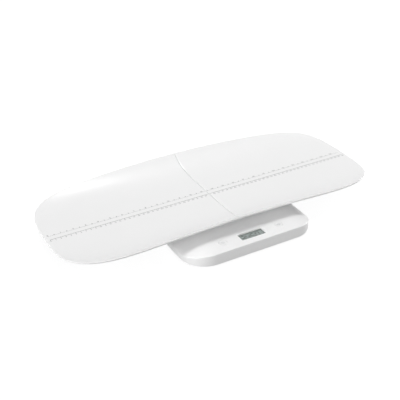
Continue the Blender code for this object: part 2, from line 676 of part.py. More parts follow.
def bottom_cover(finish):
    """The floor plate inside the skirt, with the battery bay, foot holes and screw pads."""
    inset = COVER_WALL + GAP
    body = rounded_block("floor", (-BASE_HALF + inset, BASE_FRONT + inset, BASE_BOTTOM),
                         (BASE_HALF - inset, BASE_BACK - inset, FLOOR_TOP),
                         BASE_CORNER - inset, BASE_CORNER_STEPS)
    add, cut = [], []
    sunk = FLOOR_TOP - FLOOR_THICKNESS / 2
    for name, x, y in foot_places():
        hole = FOOT_RADIUS + 5 * GAP
        add.append(disc(f"{name}_collar", (x, y), hole + COLLAR_WALL, sunk,
                        FLOOR_TOP + COLLAR_HEIGHT, steps=FINE_STEPS))
        cut.append(disc(f"{name}_foot_hole", (x, y), hole, BASE_BOTTOM - OVERRUN,
                        FLOOR_TOP + COLLAR_HEIGHT + OVERRUN, steps=FINE_STEPS))
    for name, x, y in screw_places():
        add.append(disc(f"{name}_pad", (x, y), BOSS_RADIUS + GAP, sunk,
                        FLOOR_TOP + SCREW_PAD, steps=SMALL_STEPS))
        cut.append(disc(f"{name}_head_room", (x, y), SCREW_HEAD_RADIUS + GAP,
                        BASE_BOTTOM - OVERRUN, BASE_BOTTOM + SCREW_HEAD + 2 * GAP))
        cut.append(disc(f"{name}_screw_hole", (x, y), SCREW_RADIUS + GAP, BASE_BOTTOM,
                        FLOOR_TOP + SCREW_PAD + OVERRUN, steps=SMALL_STEPS))
    hx, hy = BAY_HALF_LENGTH, BAY_HALF_WIDTH
    door = BAY_LEDGE
    frame = BAY_LEDGE + BAY_FRAME
    add.append(box("bay_frame", (-hx - frame, BAY_Y - hy - frame, sunk),
                   (hx + frame, BAY_Y + hy + frame, FLOOR_TOP + BAY_FRAME_HEIGHT)))
    add.append(box("bay_walls", (-hx - BAY_WALL, BAY_Y - hy - BAY_WALL, sunk),
                   (hx + BAY_WALL, BAY_Y + hy + BAY_WALL, BAY_CEILING + BAY_WALL)))
    cut.append(box("bay_room", (-hx, BAY_Y - hy, BASE_BOTTOM - OVERRUN),
                   (hx, BAY_Y + hy, BAY_CEILING)))
    cut.append(box("door_room", (-hx - door, BAY_Y - hy - door, BASE_BOTTOM - OVERRUN),
                   (hx + door, BAY_Y + hy + door, DOOR_TOP + GAP)))
    for side_name, side in SIDES:
        ends = sorted((side * (hx + door - OVERRUN), side * (hx + door + DOOR_PIN_LENGTH)))
        cut.append(disc(f"{side_name}_pin_hole", (0.0, door_axis()[1], door_axis()[2]),
                        DOOR_PIN_RADIUS + GAP, ends[0], ends[1], steps=SMALL_STEPS, axis="X"))
    cut.append(disc("unit_hole", (UNIT_X, UNIT_Y), UNIT_RADIUS + GAP,
                    BASE_BOTTOM - OVERRUN, FLOOR_TOP + OVERRUN))
    seat = unit_board_bottom() - GAP
    head = unit_board_bottom() + BOARD_THICKNESS + GAP
    for i, place in enumerate(unit_post_places()):
        profile = [(0.0, head + STAKE_HEAD), (STAKE_RADIUS, head + STAKE_HEAD),
                   (STAKE_HEAD_RADIUS, head), (STAKE_RADIUS, head), (STAKE_RADIUS, seat),
                   (UNIT_POST_RADIUS, seat), (UNIT_POST_RADIUS, sunk), (0.0, sunk)]
        add.append(turned(f"unit_stake_{i}", place, profile, steps=SMALL_STEPS))
    rib_end = FLOOR_RIB_REACH_SHARE * CABLE_LANE_X
    for i, share in enumerate(FLOOR_RIB_SHARES):
        y = BASE_FRONT + share * BASE_DEPTH
        add.append(box(f"floor_rib_{i}", (-rib_end, y - RIB_THICKNESS / 2, sunk),
                       (rib_end, y + RIB_THICKNESS / 2, FLOOR_TOP + FLOOR_RIB_HEIGHT)))
    return piece("bottom_cover", body, finish, add=add, cut=cut)


def door_axis():
    """A point on the battery door's pivot line, which runs along X."""
    back = BAY_Y + BAY_HALF_WIDTH + BAY_LEDGE - GAP
    return (0.0, back - DOOR_THICKNESS / 2, BASE_BOTTOM + DOOR_THICKNESS / 2)


def battery_door(finish):
    """The door under the batteries: a full-round pivot edge with two pins, and a snap tongue."""
    hx = BAY_HALF_LENGTH + BAY_LEDGE - GAP
    front = BAY_Y - BAY_HALF_WIDTH - BAY_LEDGE + GAP
    _, pivot_y, pivot_z = door_axis()
    body = box("door", (-hx, front, BASE_BOTTOM), (hx, pivot_y, DOOR_TOP))
    add = [disc("pivot_edge", (0.0, pivot_y, pivot_z), DOOR_THICKNESS / 2, -hx, hx,
                steps=ROUND_STEPS, axis="X"),
           disc("pivot_pins", (0.0, pivot_y, pivot_z), DOOR_PIN_RADIUS,
                -hx - DOOR_PIN_LENGTH, hx + DOOR_PIN_LENGTH, steps=SMALL_STEPS, axis="X")]
    cut = []
    for side_name, side in SIDES:
        xs = sorted((side * DOOR_TONGUE / 2, side * (DOOR_TONGUE / 2 + DOOR_SLOT)))
        cut.append(box(f"{side_name}_tongue_slot",
                       (xs[0], front - OVERRUN, BASE_BOTTOM - OVERRUN),
                       (xs[1], front + DOOR_TONGUE_DEPTH, DOOR_TOP + OVERRUN)))
    return piece("battery_door", body, finish, add=add, cut=cut, origin=door_axis())


def battery_rows():
    """The centre line of each cell across the bay."""
    middle = (BATTERY_COUNT - 1) / 2
    return [BAY_Y + (i - middle) * BATTERY_PITCH for i in range(BATTERY_COUNT)]


def batteries(can, spring_metal):
    """Three cells side by side, coil springs at their minus ends, a strip at each end."""
    left = -BAY_HALF_LENGTH + GAP
    spring_from = left + CONTACT_THICKNESS + GAP
    cell_from = spring_from + SPRING_LENGTH + GAP
    cell_to = cell_from + BATTERY_LENGTH
    wire_from = spring_from + SPRING_WIRE
    wire_to = spring_from + SPRING_LENGTH - SPRING_WIRE
    for row, y in enumerate(battery_rows(), start=1):
        axis = (0.0, y, BATTERY_Z)
        body = disc("can", axis, BATTERY_RADIUS, cell_from, cell_to - BATTERY_NUB, axis="X")
        nub = disc("nub", axis, BATTERY_NUB_RADIUS, cell_to - BATTERY_NUB - OVERRUN, cell_to,
                   axis="X")
        piece(f"battery_{row}", body, can, add=[nub])
        count = int(SPRING_TURNS * SPRING_TURN_POINTS) + 1
        turn = np.linspace(0, 2 * math.pi * SPRING_TURNS, count)
        along = np.linspace(wire_from, wire_to, count)
        reach = SPRING_RADIUS * (1 - (1 - SPRING_TIP_SHARE) * turn / turn[-1])
        coil = np.stack([along, y + reach * np.cos(turn), BATTERY_Z + reach * np.sin(turn)], 1)
        piece(f"battery_spring_{row}", tube("spring", coil, SPRING_WIRE, sides=0),
              spring_metal)
    half = BAY_HALF_WIDTH - GAP
    high = BATTERY_Z + CONTACT_WIDTH / 2
    rows = battery_rows()
    for tag, x in (("minus", left), ("plus", cell_to + GAP)):
        plate = box("plate", (x, BAY_Y - half, BATTERY_Z - CONTACT_WIDTH / 2),
                    (x + CONTACT_THICKNESS, BAY_Y + half, high))
        gaps = []
        for near, far in zip(rows, rows[1:]):
            middle = (near + far) / 2
            gaps.append(box("gap", (x - OVERRUN, middle - OVERRUN, BATTERY_Z),
                            (x + CONTACT_THICKNESS + OVERRUN, middle + OVERRUN,
                             high + OVERRUN)))
        piece(f"battery_contact_{tag}", plate, spring_metal, cut=gaps)


def display(lens, glass, holder, rubber):
    """The window in the cover, the panel behind it, its holder and its two contact strips."""
    half = (DISPLAY_LENGTH / 2 - GAP, DISPLAY_WIDTH / 2 - GAP)
    window = box("window", (-half[0], DISPLAY_Y - half[1], WINDOW_FLANGE_TOP - GAP),
                 (half[0], DISPLAY_Y + half[1], BASE_TOP - WINDOW_SINK))
    wide = (half[0] + WINDOW_LIP, half[1] + WINDOW_LIP)
    flange = box("flange", (-wide[0], DISPLAY_Y - wide[1], WINDOW_FLANGE_TOP - WINDOW_FLANGE),
                 (wide[0], DISPLAY_Y + wide[1], WINDOW_FLANGE_TOP))
    piece("display_window", window, lens, add=[flange])
    panel = (DISPLAY_LENGTH / 2 + PANEL_BORDER, DISPLAY_WIDTH / 2 + PANEL_BORDER)
    piece("display_panel", box("panel", (-panel[0], DISPLAY_Y - panel[1], PANEL_BOTTOM),
                               (panel[0], DISPLAY_Y + panel[1], PANEL_TOP)), glass)
    pocket = (panel[0] + GAP, panel[1] + GAP)
    outer = (pocket[0] + FRAME_WALL, pocket[1] + FRAME_WALL)
    through = (pocket[0] - LEDGE_WIDTH, pocket[1] - LEDGE_WIDTH)
    low = BOARD_TOP + GAP
    frame = rounded_block("frame", (-outer[0], DISPLAY_Y - outer[1], low),
                          (outer[0], DISPLAY_Y + outer[1], PANEL_TOP), FRAME_WALL, 3)
    piece("display_frame", frame, holder,
          cut=[box("panel_room", (-pocket[0], DISPLAY_Y - pocket[1], PANEL_BOTTOM - GAP),
                   (pocket[0], DISPLAY_Y + pocket[1], PANEL_TOP + OVERRUN)),
               box("strip_room", (-through[0], DISPLAY_Y - through[1], low - OVERRUN),
                   (through[0], DISPLAY_Y + through[1], PANEL_TOP + OVERRUN))])
    for end_name, end in ENDS:
        y = DISPLAY_Y + end * (through[1] - GAP - STRIP_WIDTH / 2)
        strip = box("strip", (-through[0] + GAP, y - STRIP_WIDTH / 2, low),
                    (through[0] - GAP, y + STRIP_WIDTH / 2, low + STRIP_HEIGHT))
        piece(f"display_strip_{end_name}", strip, rubber)


def circuit_board(board_green, epoxy, black, ivory):
    """The main board with its chip, beeper and two cable plugs."""
    half = (BOARD_LENGTH / 2, BOARD_WIDTH / 2)
    board = box("board", (-half[0], BOARD_Y - half[1], BOARD_BOTTOM),
                (half[0], BOARD_Y + half[1], BOARD_TOP))
    holes = [disc(f"board_hole_{i}", place, STAKE_RADIUS + GAP, BOARD_BOTTOM - OVERRUN,
                  BOARD_TOP + OVERRUN) for i, place in enumerate(stake_places())]
    piece("circuit_board", board, board_green, cut=holes)
    under = BOARD_BOTTOM - GAP
    dome = [(0.0, under)] + [(across * CHIP_RADIUS, under - down * CHIP_HEIGHT)
                             for across, down in CHIP_DOME_SHARES]
    piece("control_chip", turned("chip", (CHIP_PLACE_SHARE * BOARD_LENGTH, BOARD_Y), dome),
          epoxy)
    x = BEEPER_PLACE_SHARE * BOARD_LENGTH
    can = disc("can", (x, BOARD_Y), BEEPER_RADIUS, under - BEEPER_HEIGHT, under)
    piece("beeper", can, black,
          cut=[disc("sound_hole", (x, BOARD_Y), BEEPER_HOLE, under - BEEPER_HEIGHT - OVERRUN,
                    under - BEEPER_HEIGHT / 2, steps=SMALL_STEPS)])
    for side_name, side in SIDES:
        px, py = plug_place(side)
        plug = box("plug", (px - PLUG_LENGTH / 2, py - PLUG_WIDTH / 2, under - PLUG_HEIGHT),
                   (px + PLUG_LENGTH / 2, py + PLUG_WIDTH / 2, under))
        piece(f"cable_plug_{side_name}", plug, ivory)


def plug_place(side):
    """The middle of the cable plug on one side of the board."""
    return side * PLUG_PLACE_SHARE * CABLE_LANE_X, BOARD_Y


def keys(finish, black, ivory):
    """The two press keys beside the display, each over its own switch."""
    body_top = BOARD_TOP + GAP + SWITCH_HEIGHT
    button_top = body_top + SWITCH_BUTTON_RISE
    key_top = BASE_TOP + KEY_PROUD
    flange_top = ROOF_UNDER - GAP
    flange_low = flange_top - KEY_FLANGE_THICKNESS
    for side_name, side in SIDES:
        place = (side * KEY_X, KEY_Y)
        dish = [(across * KEY_RADIUS, key_top - down * KEY_DISH)
                for across, down in KEY_DISH_SHARES]
        profile = dish + [(KEY_RADIUS - KEY_EDGE, key_top), (KEY_RADIUS, key_top - KEY_EDGE),
                          (KEY_RADIUS, flange_top), (KEY_RADIUS + KEY_FLANGE, flange_top),
                          (KEY_RADIUS + KEY_FLANGE, flange_low),
                          (KEY_STEM_RADIUS, flange_low),
                          (KEY_STEM_RADIUS, button_top + GAP), (0.0, button_top + GAP)]
        piece(f"{side_name}_key", turned("key", place, profile, steps=FINE_STEPS), finish,
              origin=(*place, key_top))
        button = disc("button", place, SWITCH_BUTTON_RADIUS, button_top - SWITCH_BUTTON_LENGTH,
                      button_top, steps=SMALL_STEPS)
        piece(f"{side_name}_switch_button", button, ivory, origin=(*place, button_top))
        low = BOARD_TOP + GAP
        body = box("switch", (place[0] - SWITCH_SIDE / 2, place[1] - SWITCH_SIDE / 2, low),
                   (place[0] + SWITCH_SIDE / 2, place[1] + SWITCH_SIDE / 2, body_top))
        hole = disc("switch_hole", place, SWITCH_BUTTON_RADIUS + GAP,
                    button_top - SWITCH_BUTTON_LENGTH - KEY_TRAVEL - GAP, body_top + OVERRUN,
                    steps=SMALL_STEPS)
        piece(f"{side_name}_switch", body, black, cut=[hole])


def unit_levels():
    """Heights of the unit button's stem end, its switch button and the switch above it."""
    flange_low = FLOOR_TOP + GAP
    stem_top = flange_low + UNIT_FLANGE_THICKNESS + UNIT_STEM_LENGTH
    button_low = stem_top + GAP
    switch_low = button_low + SWITCH_BUTTON_RISE + GAP
    return flange_low, stem_top, button_low, switch_low


def unit_board_bottom():
    """Underside of the small board that carries the unit switch."""
    return unit_levels()[3] + SWITCH_HEIGHT + GAP


def unit_button(finish, black, ivory, board_green):
    """The kilogram and pound button under the base, its switch and the small board."""
    place = (UNIT_X, UNIT_Y)
    flange_low, stem_top, button_low, switch_low = unit_levels()
    low = BASE_BOTTOM + UNIT_SINK
    flange_top = flange_low + UNIT_FLANGE_THICKNESS
    profile = [(0.0, stem_top), (UNIT_STEM_RADIUS, stem_top), (UNIT_STEM_RADIUS, flange_top),
               (UNIT_RADIUS + UNIT_FLANGE, flange_top), (UNIT_RADIUS + UNIT_FLANGE, flange_low),
               (UNIT_RADIUS, flange_low), (UNIT_RADIUS, low + KEY_EDGE),
               (UNIT_RADIUS - KEY_EDGE, low), (0.0, low)]
    piece("unit_button", turned("unit", place, profile), finish, origin=(*place, low))
    button = disc("button", place, SWITCH_BUTTON_RADIUS, button_low,
                  button_low + SWITCH_BUTTON_LENGTH, steps=SMALL_STEPS)
    piece("unit_switch_button", button, ivory, origin=(*place, button_low))
    body = box("switch", (UNIT_X - SWITCH_SIDE / 2, UNIT_Y - SWITCH_SIDE / 2, switch_low),
               (UNIT_X + SWITCH_SIDE / 2, UNIT_Y + SWITCH_SIDE / 2, switch_low + SWITCH_HEIGHT))
    piece("unit_switch", body, black,
          cut=[disc("unit_switch_hole", place, SWITCH_BUTTON_RADIUS + GAP,
                    switch_low - OVERRUN,
                    button_low + SWITCH_BUTTON_LENGTH + KEY_TRAVEL + GAP, steps=SMALL_STEPS)])
    bottom = unit_board_bottom()
    half = (UNIT_BOARD_LENGTH / 2, UNIT_BOARD_WIDTH / 2)
    board = box("small_board", (UNIT_X - half[0], UNIT_Y - half[1], bottom),
                (UNIT_X + half[0], UNIT_Y + half[1], bottom + BOARD_THICKNESS))
    piece("unit_switch_board", board, board_green,
          cut=[disc(f"small_hole_{i}", spot, STAKE_RADIUS + GAP, bottom - OVERRUN,
                    bottom + BOARD_THICKNESS + OVERRUN)
               for i, spot in enumerate(unit_post_places())])


def inward(x):
    """The direction along X from a foot towards the middle of the base."""
    return -math.copysign(1, x)


def load_cell(name, x, y, steel):
    """A square bending-beam cell: a rim, a tongue for the foot, and a neck between them."""
    half = CELL_SIDE / 2
    inner = half - CELL_RIM
    tongue = inner - CELL_SLOT
    toward = inward(x)
    below, above = CELL_BOTTOM - OVERRUN, CELL_TOP + OVERRUN
    plate = rounded_block(name, (x - half, y - half, CELL_BOTTOM),
                          (x + half, y + half, CELL_TOP), COVER_WALL, 3)
    slots = []
    near = sorted((x + toward * (tongue - CELL_SLOT), x + toward * inner))
    for end_name, end in ENDS:
        ys = sorted((y + end * tongue, y + end * inner))
        slots.append(box(f"{name}_{end_name}_slot", (x - inner, ys[0], below),
                         (x + inner, ys[1], above)))
        ys = sorted((y + end * CELL_NECK, y + end * inner))
        slots.append(box(f"{name}_{end_name}_neck", (near[0], ys[0], below),
                         (near[1], ys[1], above)))
    far = sorted((x - toward * tongue, x - toward * inner))
    slots.append(box(f"{name}_far_slot", (far[0], y - inner, below),
                     (far[1], y + inner, above)))
    slots.append(disc(f"{name}_stud_hole", (x, y), STUD_RADIUS + GAP, below, above))
    piece(f"load_cell_{name}", plate, steel, cut=slots)


def foot(name, x, y, plastic, rubber):
    """A foot disc whose stud is staked over the cell's tongue, and the pad under it."""
    head = CELL_TOP + GAP
    profile = [(0.0, head + STAKE_HEAD), (STUD_HEAD_RADIUS, head), (STUD_RADIUS, head),
               (STUD_RADIUS, HUB_TOP), (FOOT_HUB_RADIUS, HUB_TOP),
               (FOOT_HUB_RADIUS, DISC_TOP), (FOOT_RADIUS, DISC_TOP),
               (FOOT_RADIUS, DISC_BOTTOM + FOOT_EDGE),
               (FOOT_RADIUS - FOOT_EDGE, DISC_BOTTOM), (0.0, DISC_BOTTOM)]
    piece(f"foot_disc_{name}", turned("disc", (x, y), profile, steps=FINE_STEPS), plastic)
    tread = PAD_RADIUS / 2
    sole = [(0.0, PAD_TOP), (PAD_RADIUS, PAD_TOP), (PAD_RADIUS, PAD_GROOVE),
            (PAD_RADIUS - PAD_GROOVE, 0.0), (tread + PAD_GROOVE, 0.0),
            (tread, PAD_GROOVE), (tread - PAD_GROOVE, 0.0), (0.0, 0.0)]
    piece(f"foot_pad_{name}", turned("pad", (x, y), sole, steps=FINE_STEPS), rubber)


def feet(steel, plastic, rubber):
    """Four load cells, each with the foot that carries its corner."""
    for name, x, y in foot_places():
        load_cell(name, x, y, steel)
        foot(name, x, y, plastic, rubber)


def floor_screws(steel):
    """The pan-head screws that hold the floor to the cover."""
    low = BASE_BOTTOM + GAP
    high = low + SCREW_HEAD
    tip = high + SCREW_LENGTH
    for name, x, y in screw_places():
        profile = [(0.0, tip), (SCREW_RADIUS, tip - SCREW_RADIUS), (SCREW_RADIUS, high),
                   (SCREW_HEAD_RADIUS, high), (SCREW_HEAD_RADIUS, low + KEY_EDGE),
                   (SCREW_HEAD_RADIUS - KEY_EDGE, low), (0.0, low)]
        body = turned("screw", (x, y), profile, steps=SMALL_STEPS)
        arms = [box("long_slot", (x - SCREW_CROSS, y - SCREW_SLOT / 2, low - OVERRUN),
                    (x + SCREW_CROSS, y + SCREW_SLOT / 2, low + SCREW_SLOT)),
                box("cross_slot", (x - SCREW_SLOT / 2, y - SCREW_CROSS, low - OVERRUN),
                    (x + SCREW_SLOT / 2, y + SCREW_CROSS, low + SCREW_SLOT))]
        piece(f"floor_screw_{name}", body, steel, cut=arms)


def load_cell_cables(jacket):
    """A cable from each cell's gauge, under its moulded cap, to the plug on its side."""
    plug_z = BOARD_BOTTOM - GAP - PLUG_HEIGHT / 2
    cell_z = CELL_TOP + GAP + GAUGE_HEIGHT / 2
    floor_z = FLOOR_TOP + GAP + CABLE_RADIUS
    outer = CELL_SIDE / 2
    for name, x, y in foot_places():
        toward = inward(x)
        px, py = plug_place(-toward)
        gauge_x = x + toward * (outer - CELL_RIM / 2)
        cap = rounded_block("cap", (gauge_x - GAUGE_WIDTH / 2, y - GAUGE_LENGTH / 2,
                                    CELL_TOP + GAP),
                            (gauge_x + GAUGE_WIDTH / 2, y + GAUGE_LENGTH / 2,
                             CELL_TOP + GAP + GAUGE_HEIGHT), GAUGE_WIDTH / 4, 3)
        out = -toward * CABLE_LANE_X
        into = px - toward * (PLUG_LENGTH / 2 + GAP)
        corners = [(gauge_x, y, cell_z), (out, y, cell_z)]
        if y < TRAY_MIDDLE_Y:
            end_z = plug_z + CABLE_RADIUS + GAP / 2
        else:
            end_z = plug_z - CABLE_RADIUS - GAP / 2
            corners += [(out, y - CELL_SIDE / 2, floor_z), (out, py + CELL_SIDE / 2, floor_z)]
        corners += [(into - toward * CABLE_STRAIGHT, py, end_z), (into, py, end_z)]
        piece(f"load_cell_cable_{name}", tube("cable", bent_path(corners, CABLE_BEND),
                                              CABLE_RADIUS), jacket, add=[cap])


def leads(jacket, red):
    """The two battery leads and the twin lead of the unit switch, laid over the ribs."""
    over_rib = FLOOR_TOP + FLOOR_RIB_HEIGHT + GAP + LEAD_RADIUS
    to_board = BOARD_BOTTOM - GAP - LEAD_RADIUS
    board_edge = BOARD_Y + BOARD_WIDTH / 2 - BOARD_STAKE_INSET
    bay_edge = BAY_Y - BAY_HALF_WIDTH - BAY_WALL - GAP
    rise_y = board_edge + CABLE_BEND
    for (_, side), finish in zip(SIDES, (jacket, red)):
        x = side * LEAD_SPACING
        corners = [(x, bay_edge, over_rib), (x, rise_y, over_rib), (x, board_edge, to_board)]
        tag = "minus" if side < 0 else "plus"
        piece(f"battery_lead_{tag}",
              tube("lead", bent_path(corners, CABLE_STRAIGHT), LEAD_RADIUS), finish)
    lane = BACK_STAKE_X - CABLE_BEND
    start_z = unit_board_bottom() - GAP - LEAD_RADIUS
    start_x = UNIT_X - UNIT_BOARD_LENGTH / 4
    start_y = UNIT_Y - UNIT_BOARD_WIDTH / 2
    corners = [(start_x, start_y + LEAD_RADIUS, start_z),
               (start_x, start_y - CABLE_BEND, start_z),
               (lane, start_y - UNIT_BOARD_LENGTH, over_rib), (lane, rise_y, over_rib),
               (lane, board_edge, to_board)]
    piece("unit_switch_lead",
          tube("lead", bent_path(corners, CABLE_STRAIGHT), LEAD_RADIUS), jacket)


def main():
    """Build the whole scale."""
    clear_scene()
    white = material("white_abs", (0.88, 0.88, 0.88), 0.38)
    tray_white = material("tray_white_abs", (0.90, 0.90, 0.90), 0.34)
    floor_white = material("floor_white_abs", (0.80, 0.80, 0.80), 0.55)
    key_white = material("key_white_abs", (0.86, 0.86, 0.86), 0.40)
    lens = material("clear_acrylic", (0.80, 0.85, 0.84), 0.05, alpha=0.35)
    panel_glass = material("display_glass", (0.24, 0.28, 0.24), 0.15)
    black = material("black_plastic", (0.03, 0.03, 0.03), 0.45)
    ivory = material("ivory_nylon", (0.78, 0.74, 0.62), 0.5)
    board_green = material("board_laminate", (0.03, 0.16, 0.06), 0.4)
    epoxy = material("black_epoxy", (0.015, 0.015, 0.015), 0.25)
    steel = material("zinc_steel", (0.62, 0.62, 0.60), 0.32, metallic=1.0)
    spring_metal = material("nickel_strip", (0.70, 0.68, 0.62), 0.25, metallic=1.0)
    can = material("battery_can", (0.10, 0.10, 0.11), 0.35)
    foot_plastic = material("foot_nylon", (0.55, 0.55, 0.55), 0.5)
    rubber = material("foot_rubber", (0.35, 0.35, 0.35), 0.8)
    conductive = material("contact_rubber", (0.10, 0.10, 0.10), 0.7)
    jacket = material("grey_cable_jacket", (0.35, 0.35, 0.36), 0.5)
    red = material("red_lead_jacket", (0.55, 0.05, 0.04), 0.5)

    for side_name, side in SIDES:
        tray_half(side_name, side, tray_white)
    top_cover(white)
    bottom_cover(floor_white)
    battery_door(floor_white)
    batteries(can, spring_metal)
    display(lens, panel_glass, black, conductive)
    circuit_board(board_green, epoxy, black, ivory)
    keys(key_white, black, ivory)
    unit_button(key_white, black, ivory, board_green)
    feet(steel, foot_plastic, rubber)
    floor_screws(steel)
    load_cell_cables(jacket)
    leads(jacket, red)
    attach_booleans()


main()
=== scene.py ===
"""Digital baby weighing scale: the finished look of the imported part.

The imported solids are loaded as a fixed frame.  The pieces that show are built again as fine
surfaces in the same frame, in metres with +Z up: the curved tray in its two halves, the base's
cover and feet, the display's reading and the keys.  The solids that stay get finishes of their
own.
"""

from __future__ import annotations

import functools
import json
import logging
import math
from dataclasses import dataclass, field
from enum import Enum
from typing import Callable, Iterable, Sequence

import bmesh
import bpy
import numpy as np
from mathutils import Matrix, Vector

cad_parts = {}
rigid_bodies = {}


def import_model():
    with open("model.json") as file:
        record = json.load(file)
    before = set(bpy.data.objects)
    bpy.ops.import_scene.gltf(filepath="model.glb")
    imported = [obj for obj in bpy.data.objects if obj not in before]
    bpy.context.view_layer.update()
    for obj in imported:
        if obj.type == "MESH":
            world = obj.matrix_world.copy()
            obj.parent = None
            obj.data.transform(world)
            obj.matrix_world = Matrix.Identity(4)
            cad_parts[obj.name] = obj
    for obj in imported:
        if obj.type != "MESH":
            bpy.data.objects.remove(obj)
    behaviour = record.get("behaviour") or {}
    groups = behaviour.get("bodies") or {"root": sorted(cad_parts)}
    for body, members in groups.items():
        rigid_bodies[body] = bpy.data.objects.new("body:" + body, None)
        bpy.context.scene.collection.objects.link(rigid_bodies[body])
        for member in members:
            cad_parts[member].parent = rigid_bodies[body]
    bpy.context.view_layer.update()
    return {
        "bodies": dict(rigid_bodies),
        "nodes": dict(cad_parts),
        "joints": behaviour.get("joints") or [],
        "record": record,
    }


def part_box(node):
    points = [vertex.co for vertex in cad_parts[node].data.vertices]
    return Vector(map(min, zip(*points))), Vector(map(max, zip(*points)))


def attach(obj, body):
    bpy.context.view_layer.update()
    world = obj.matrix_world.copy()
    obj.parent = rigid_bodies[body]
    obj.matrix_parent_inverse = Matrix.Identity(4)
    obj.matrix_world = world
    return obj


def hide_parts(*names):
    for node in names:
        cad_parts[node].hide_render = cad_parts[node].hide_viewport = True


LOG = logging.getLogger("baby_weighing_scale")

MM = 0.001
GAP = 0.3 * MM  # left between neighbours that don't touch
BASE_TOP = 28.3 * MM  # the base's roof, before it rolls down
TRAY_Y = 24.75 * MM  # the tray's middle line
TRAY_Z = 32.8 * MM  # the tray's upper face where it is lowest
RULER_Y = 16.75 * MM  # the ruler's base line
KEY_RADIUS = 8.0 * MM

Array = np.ndarray
Faces = Iterable[Sequence[int]]
Material = bpy.types.Material
NodeTree = bpy.types.NodeTree
Pair = tuple[float, float]  # a place on the plan, or a size
Piece = bpy.types.Object
Socket = bpy.types.NodeSocket


class Direction(Enum):
    """A named half of the object, whose value is its sign along an axis."""

    @property
    def word(self) -> str:
        """The half's name as the nodes have it."""
        return self.name.lower()


class Side(Direction):
    """The halves of the object along X."""

    LEFT = -1
    RIGHT = 1


class End(Direction):
    """The halves of the object along Y."""

    FRONT = -1
    BACK = 1


# ---- Finishes


def linear(hex_colour: str) -> tuple[float, float, float, float]:
    """Turn a colour as a screen shows it into the linear values that a shader takes.

    Each channel c of 0 to 1 is c / 12.92 below 0.04045, and else ((c + 0.055) / 1.055) ** 2.4.

    Args:
        hex_colour: six hexadecimal digits after a hash.

    Returns:
        Red, green, blue and an alpha of one.
    """
    channels = (int(hex_colour[i:i + 2], 16) / 255 for i in (1, 3, 5))
    red, green, blue = (c / 12.92 if c <= 0.04045 else ((c + 0.055) / 1.055) ** 2.4
                        for c in channels)
    return red, green, blue, 1.0


def add_node(tree: NodeTree, kind: str, settings: dict[str, object] | None = None,
             **links: object) -> bpy.types.Node:
    """Add a node, set its properties, and fill its inputs with values or links.

    Args:
        tree: the node tree that takes the node.
        kind: the node's type name.
        settings: properties of the node itself, by name.
        **links: an input's name, with an underscore for a space, or its index after the letter
            `i`, and the value or the output socket that it takes.

    Returns:
        The new node.
    """
    node = tree.nodes.new(kind)
    for name, value in (settings or {}).items():
        setattr(node, name, value)
    for name, value in links.items():
        key: int | str = int(name[1:]) if name[1:].isdigit() else name.replace("_", " ")
        if isinstance(value, Socket):
            tree.links.new(value, node.inputs[key])
        else:
            node.inputs[key].default_value = value
    return node


@dataclass(frozen=True)
class Finish:
    """What every finish has: a maker's name, colours, and a surface worked out in millimetres."""

    name: str
    colour: str
    tint: str
    roughness: float
    ior: float = 1.5
    metallic: float = 0.0
    alpha: float = 1.0
    tint_mm: float = 60.0  # how wide a patch of tint is
    grain_mm: float = 0.8  # real grain is finer, and is drawn as coarse as it needs to show
    relief_mm: float = 0.01
    roughness_swing: float = 0.04
    second: str = ""  # a second colour, laid where `mask` is one

    def build(self) -> Material:
        """Make the material: a tint that drifts, a roughness that varies and a fine relief.

        Returns:
            A new material with a Principled shader driven by noise in Object coordinates.
        """
        made = bpy.data.materials.new(self.name)
        made.diffuse_color = linear(self.colour)
        made.use_nodes = True
        tree = made.node_tree
        shader = tree.nodes["Principled BSDF"]
        place = add_node(tree, "ShaderNodeTexCoord").outputs["Object"]
        drift = add_node(tree, "ShaderNodeTexNoise", Vector=place, Detail=2.0,
                         Scale=1 / (self.tint_mm * MM))
        colour = add_node(tree, "ShaderNodeMix", {"data_type": "RGBA"}, i7=linear(self.tint),
                          i0=drift.outputs["Fac"], i6=linear(self.colour)).outputs[2]
        if self.second:
            colour = add_node(tree, "ShaderNodeMix", {"data_type": "RGBA"}, i6=colour,
                              i0=self.mask(tree, place), i7=linear(self.second)).outputs[2]
        grain = self.grain(tree, place)
        rough = add_node(tree, "ShaderNodeMapRange", Value=grain,
                         i3=self.roughness - self.roughness_swing,
                         i4=self.roughness + self.roughness_swing)
        bump = add_node(tree, "ShaderNodeBump", Height=grain, Strength=0.5,
                        Distance=self.relief_mm * MM)
        for name, value in (("Metallic", self.metallic), ("IOR", self.ior),
                            ("Alpha", self.alpha)):
            shader.inputs[name].default_value = value
        for name, socket in (("Base Color", colour), ("Roughness", rough.outputs[0]),
                             ("Normal", bump.outputs["Normal"])):
            tree.links.new(socket, shader.inputs[name])
        return made

    def grain(self, tree: NodeTree, place: Socket) -> Socket:
        """The height of the finish's fine surface, from 0 to 1."""
        noise = add_node(tree, "ShaderNodeTexNoise", Vector=place, Detail=3.0, Roughness=0.6,
                         Scale=1 / (self.grain_mm * MM))
        return noise.outputs["Fac"]

    def mask(self, tree: NodeTree, place: Socket) -> Socket:
        """One where the second colour lies, in a finish that has one."""
        raise NotImplementedError(self.name)


@dataclass(frozen=True)
class MouldedPlastic(Finish):
    """Injection-moulded plastic: an even colour, a satin sheen and a faint spark-eroded grain."""


@dataclass(frozen=True)
class PrintedInk(Finish):
    """Pad-printed ink: flat, and a little duller than the plastic under it."""

    grain_mm: float = 0.4
    relief_mm: float = 0.002


@dataclass(frozen=True)
class LiquidCrystal(Finish):
    """A reflective liquid crystal cell: smooth and slightly silky."""

    grain_mm: float = 0.5
    relief_mm: float = 0.001


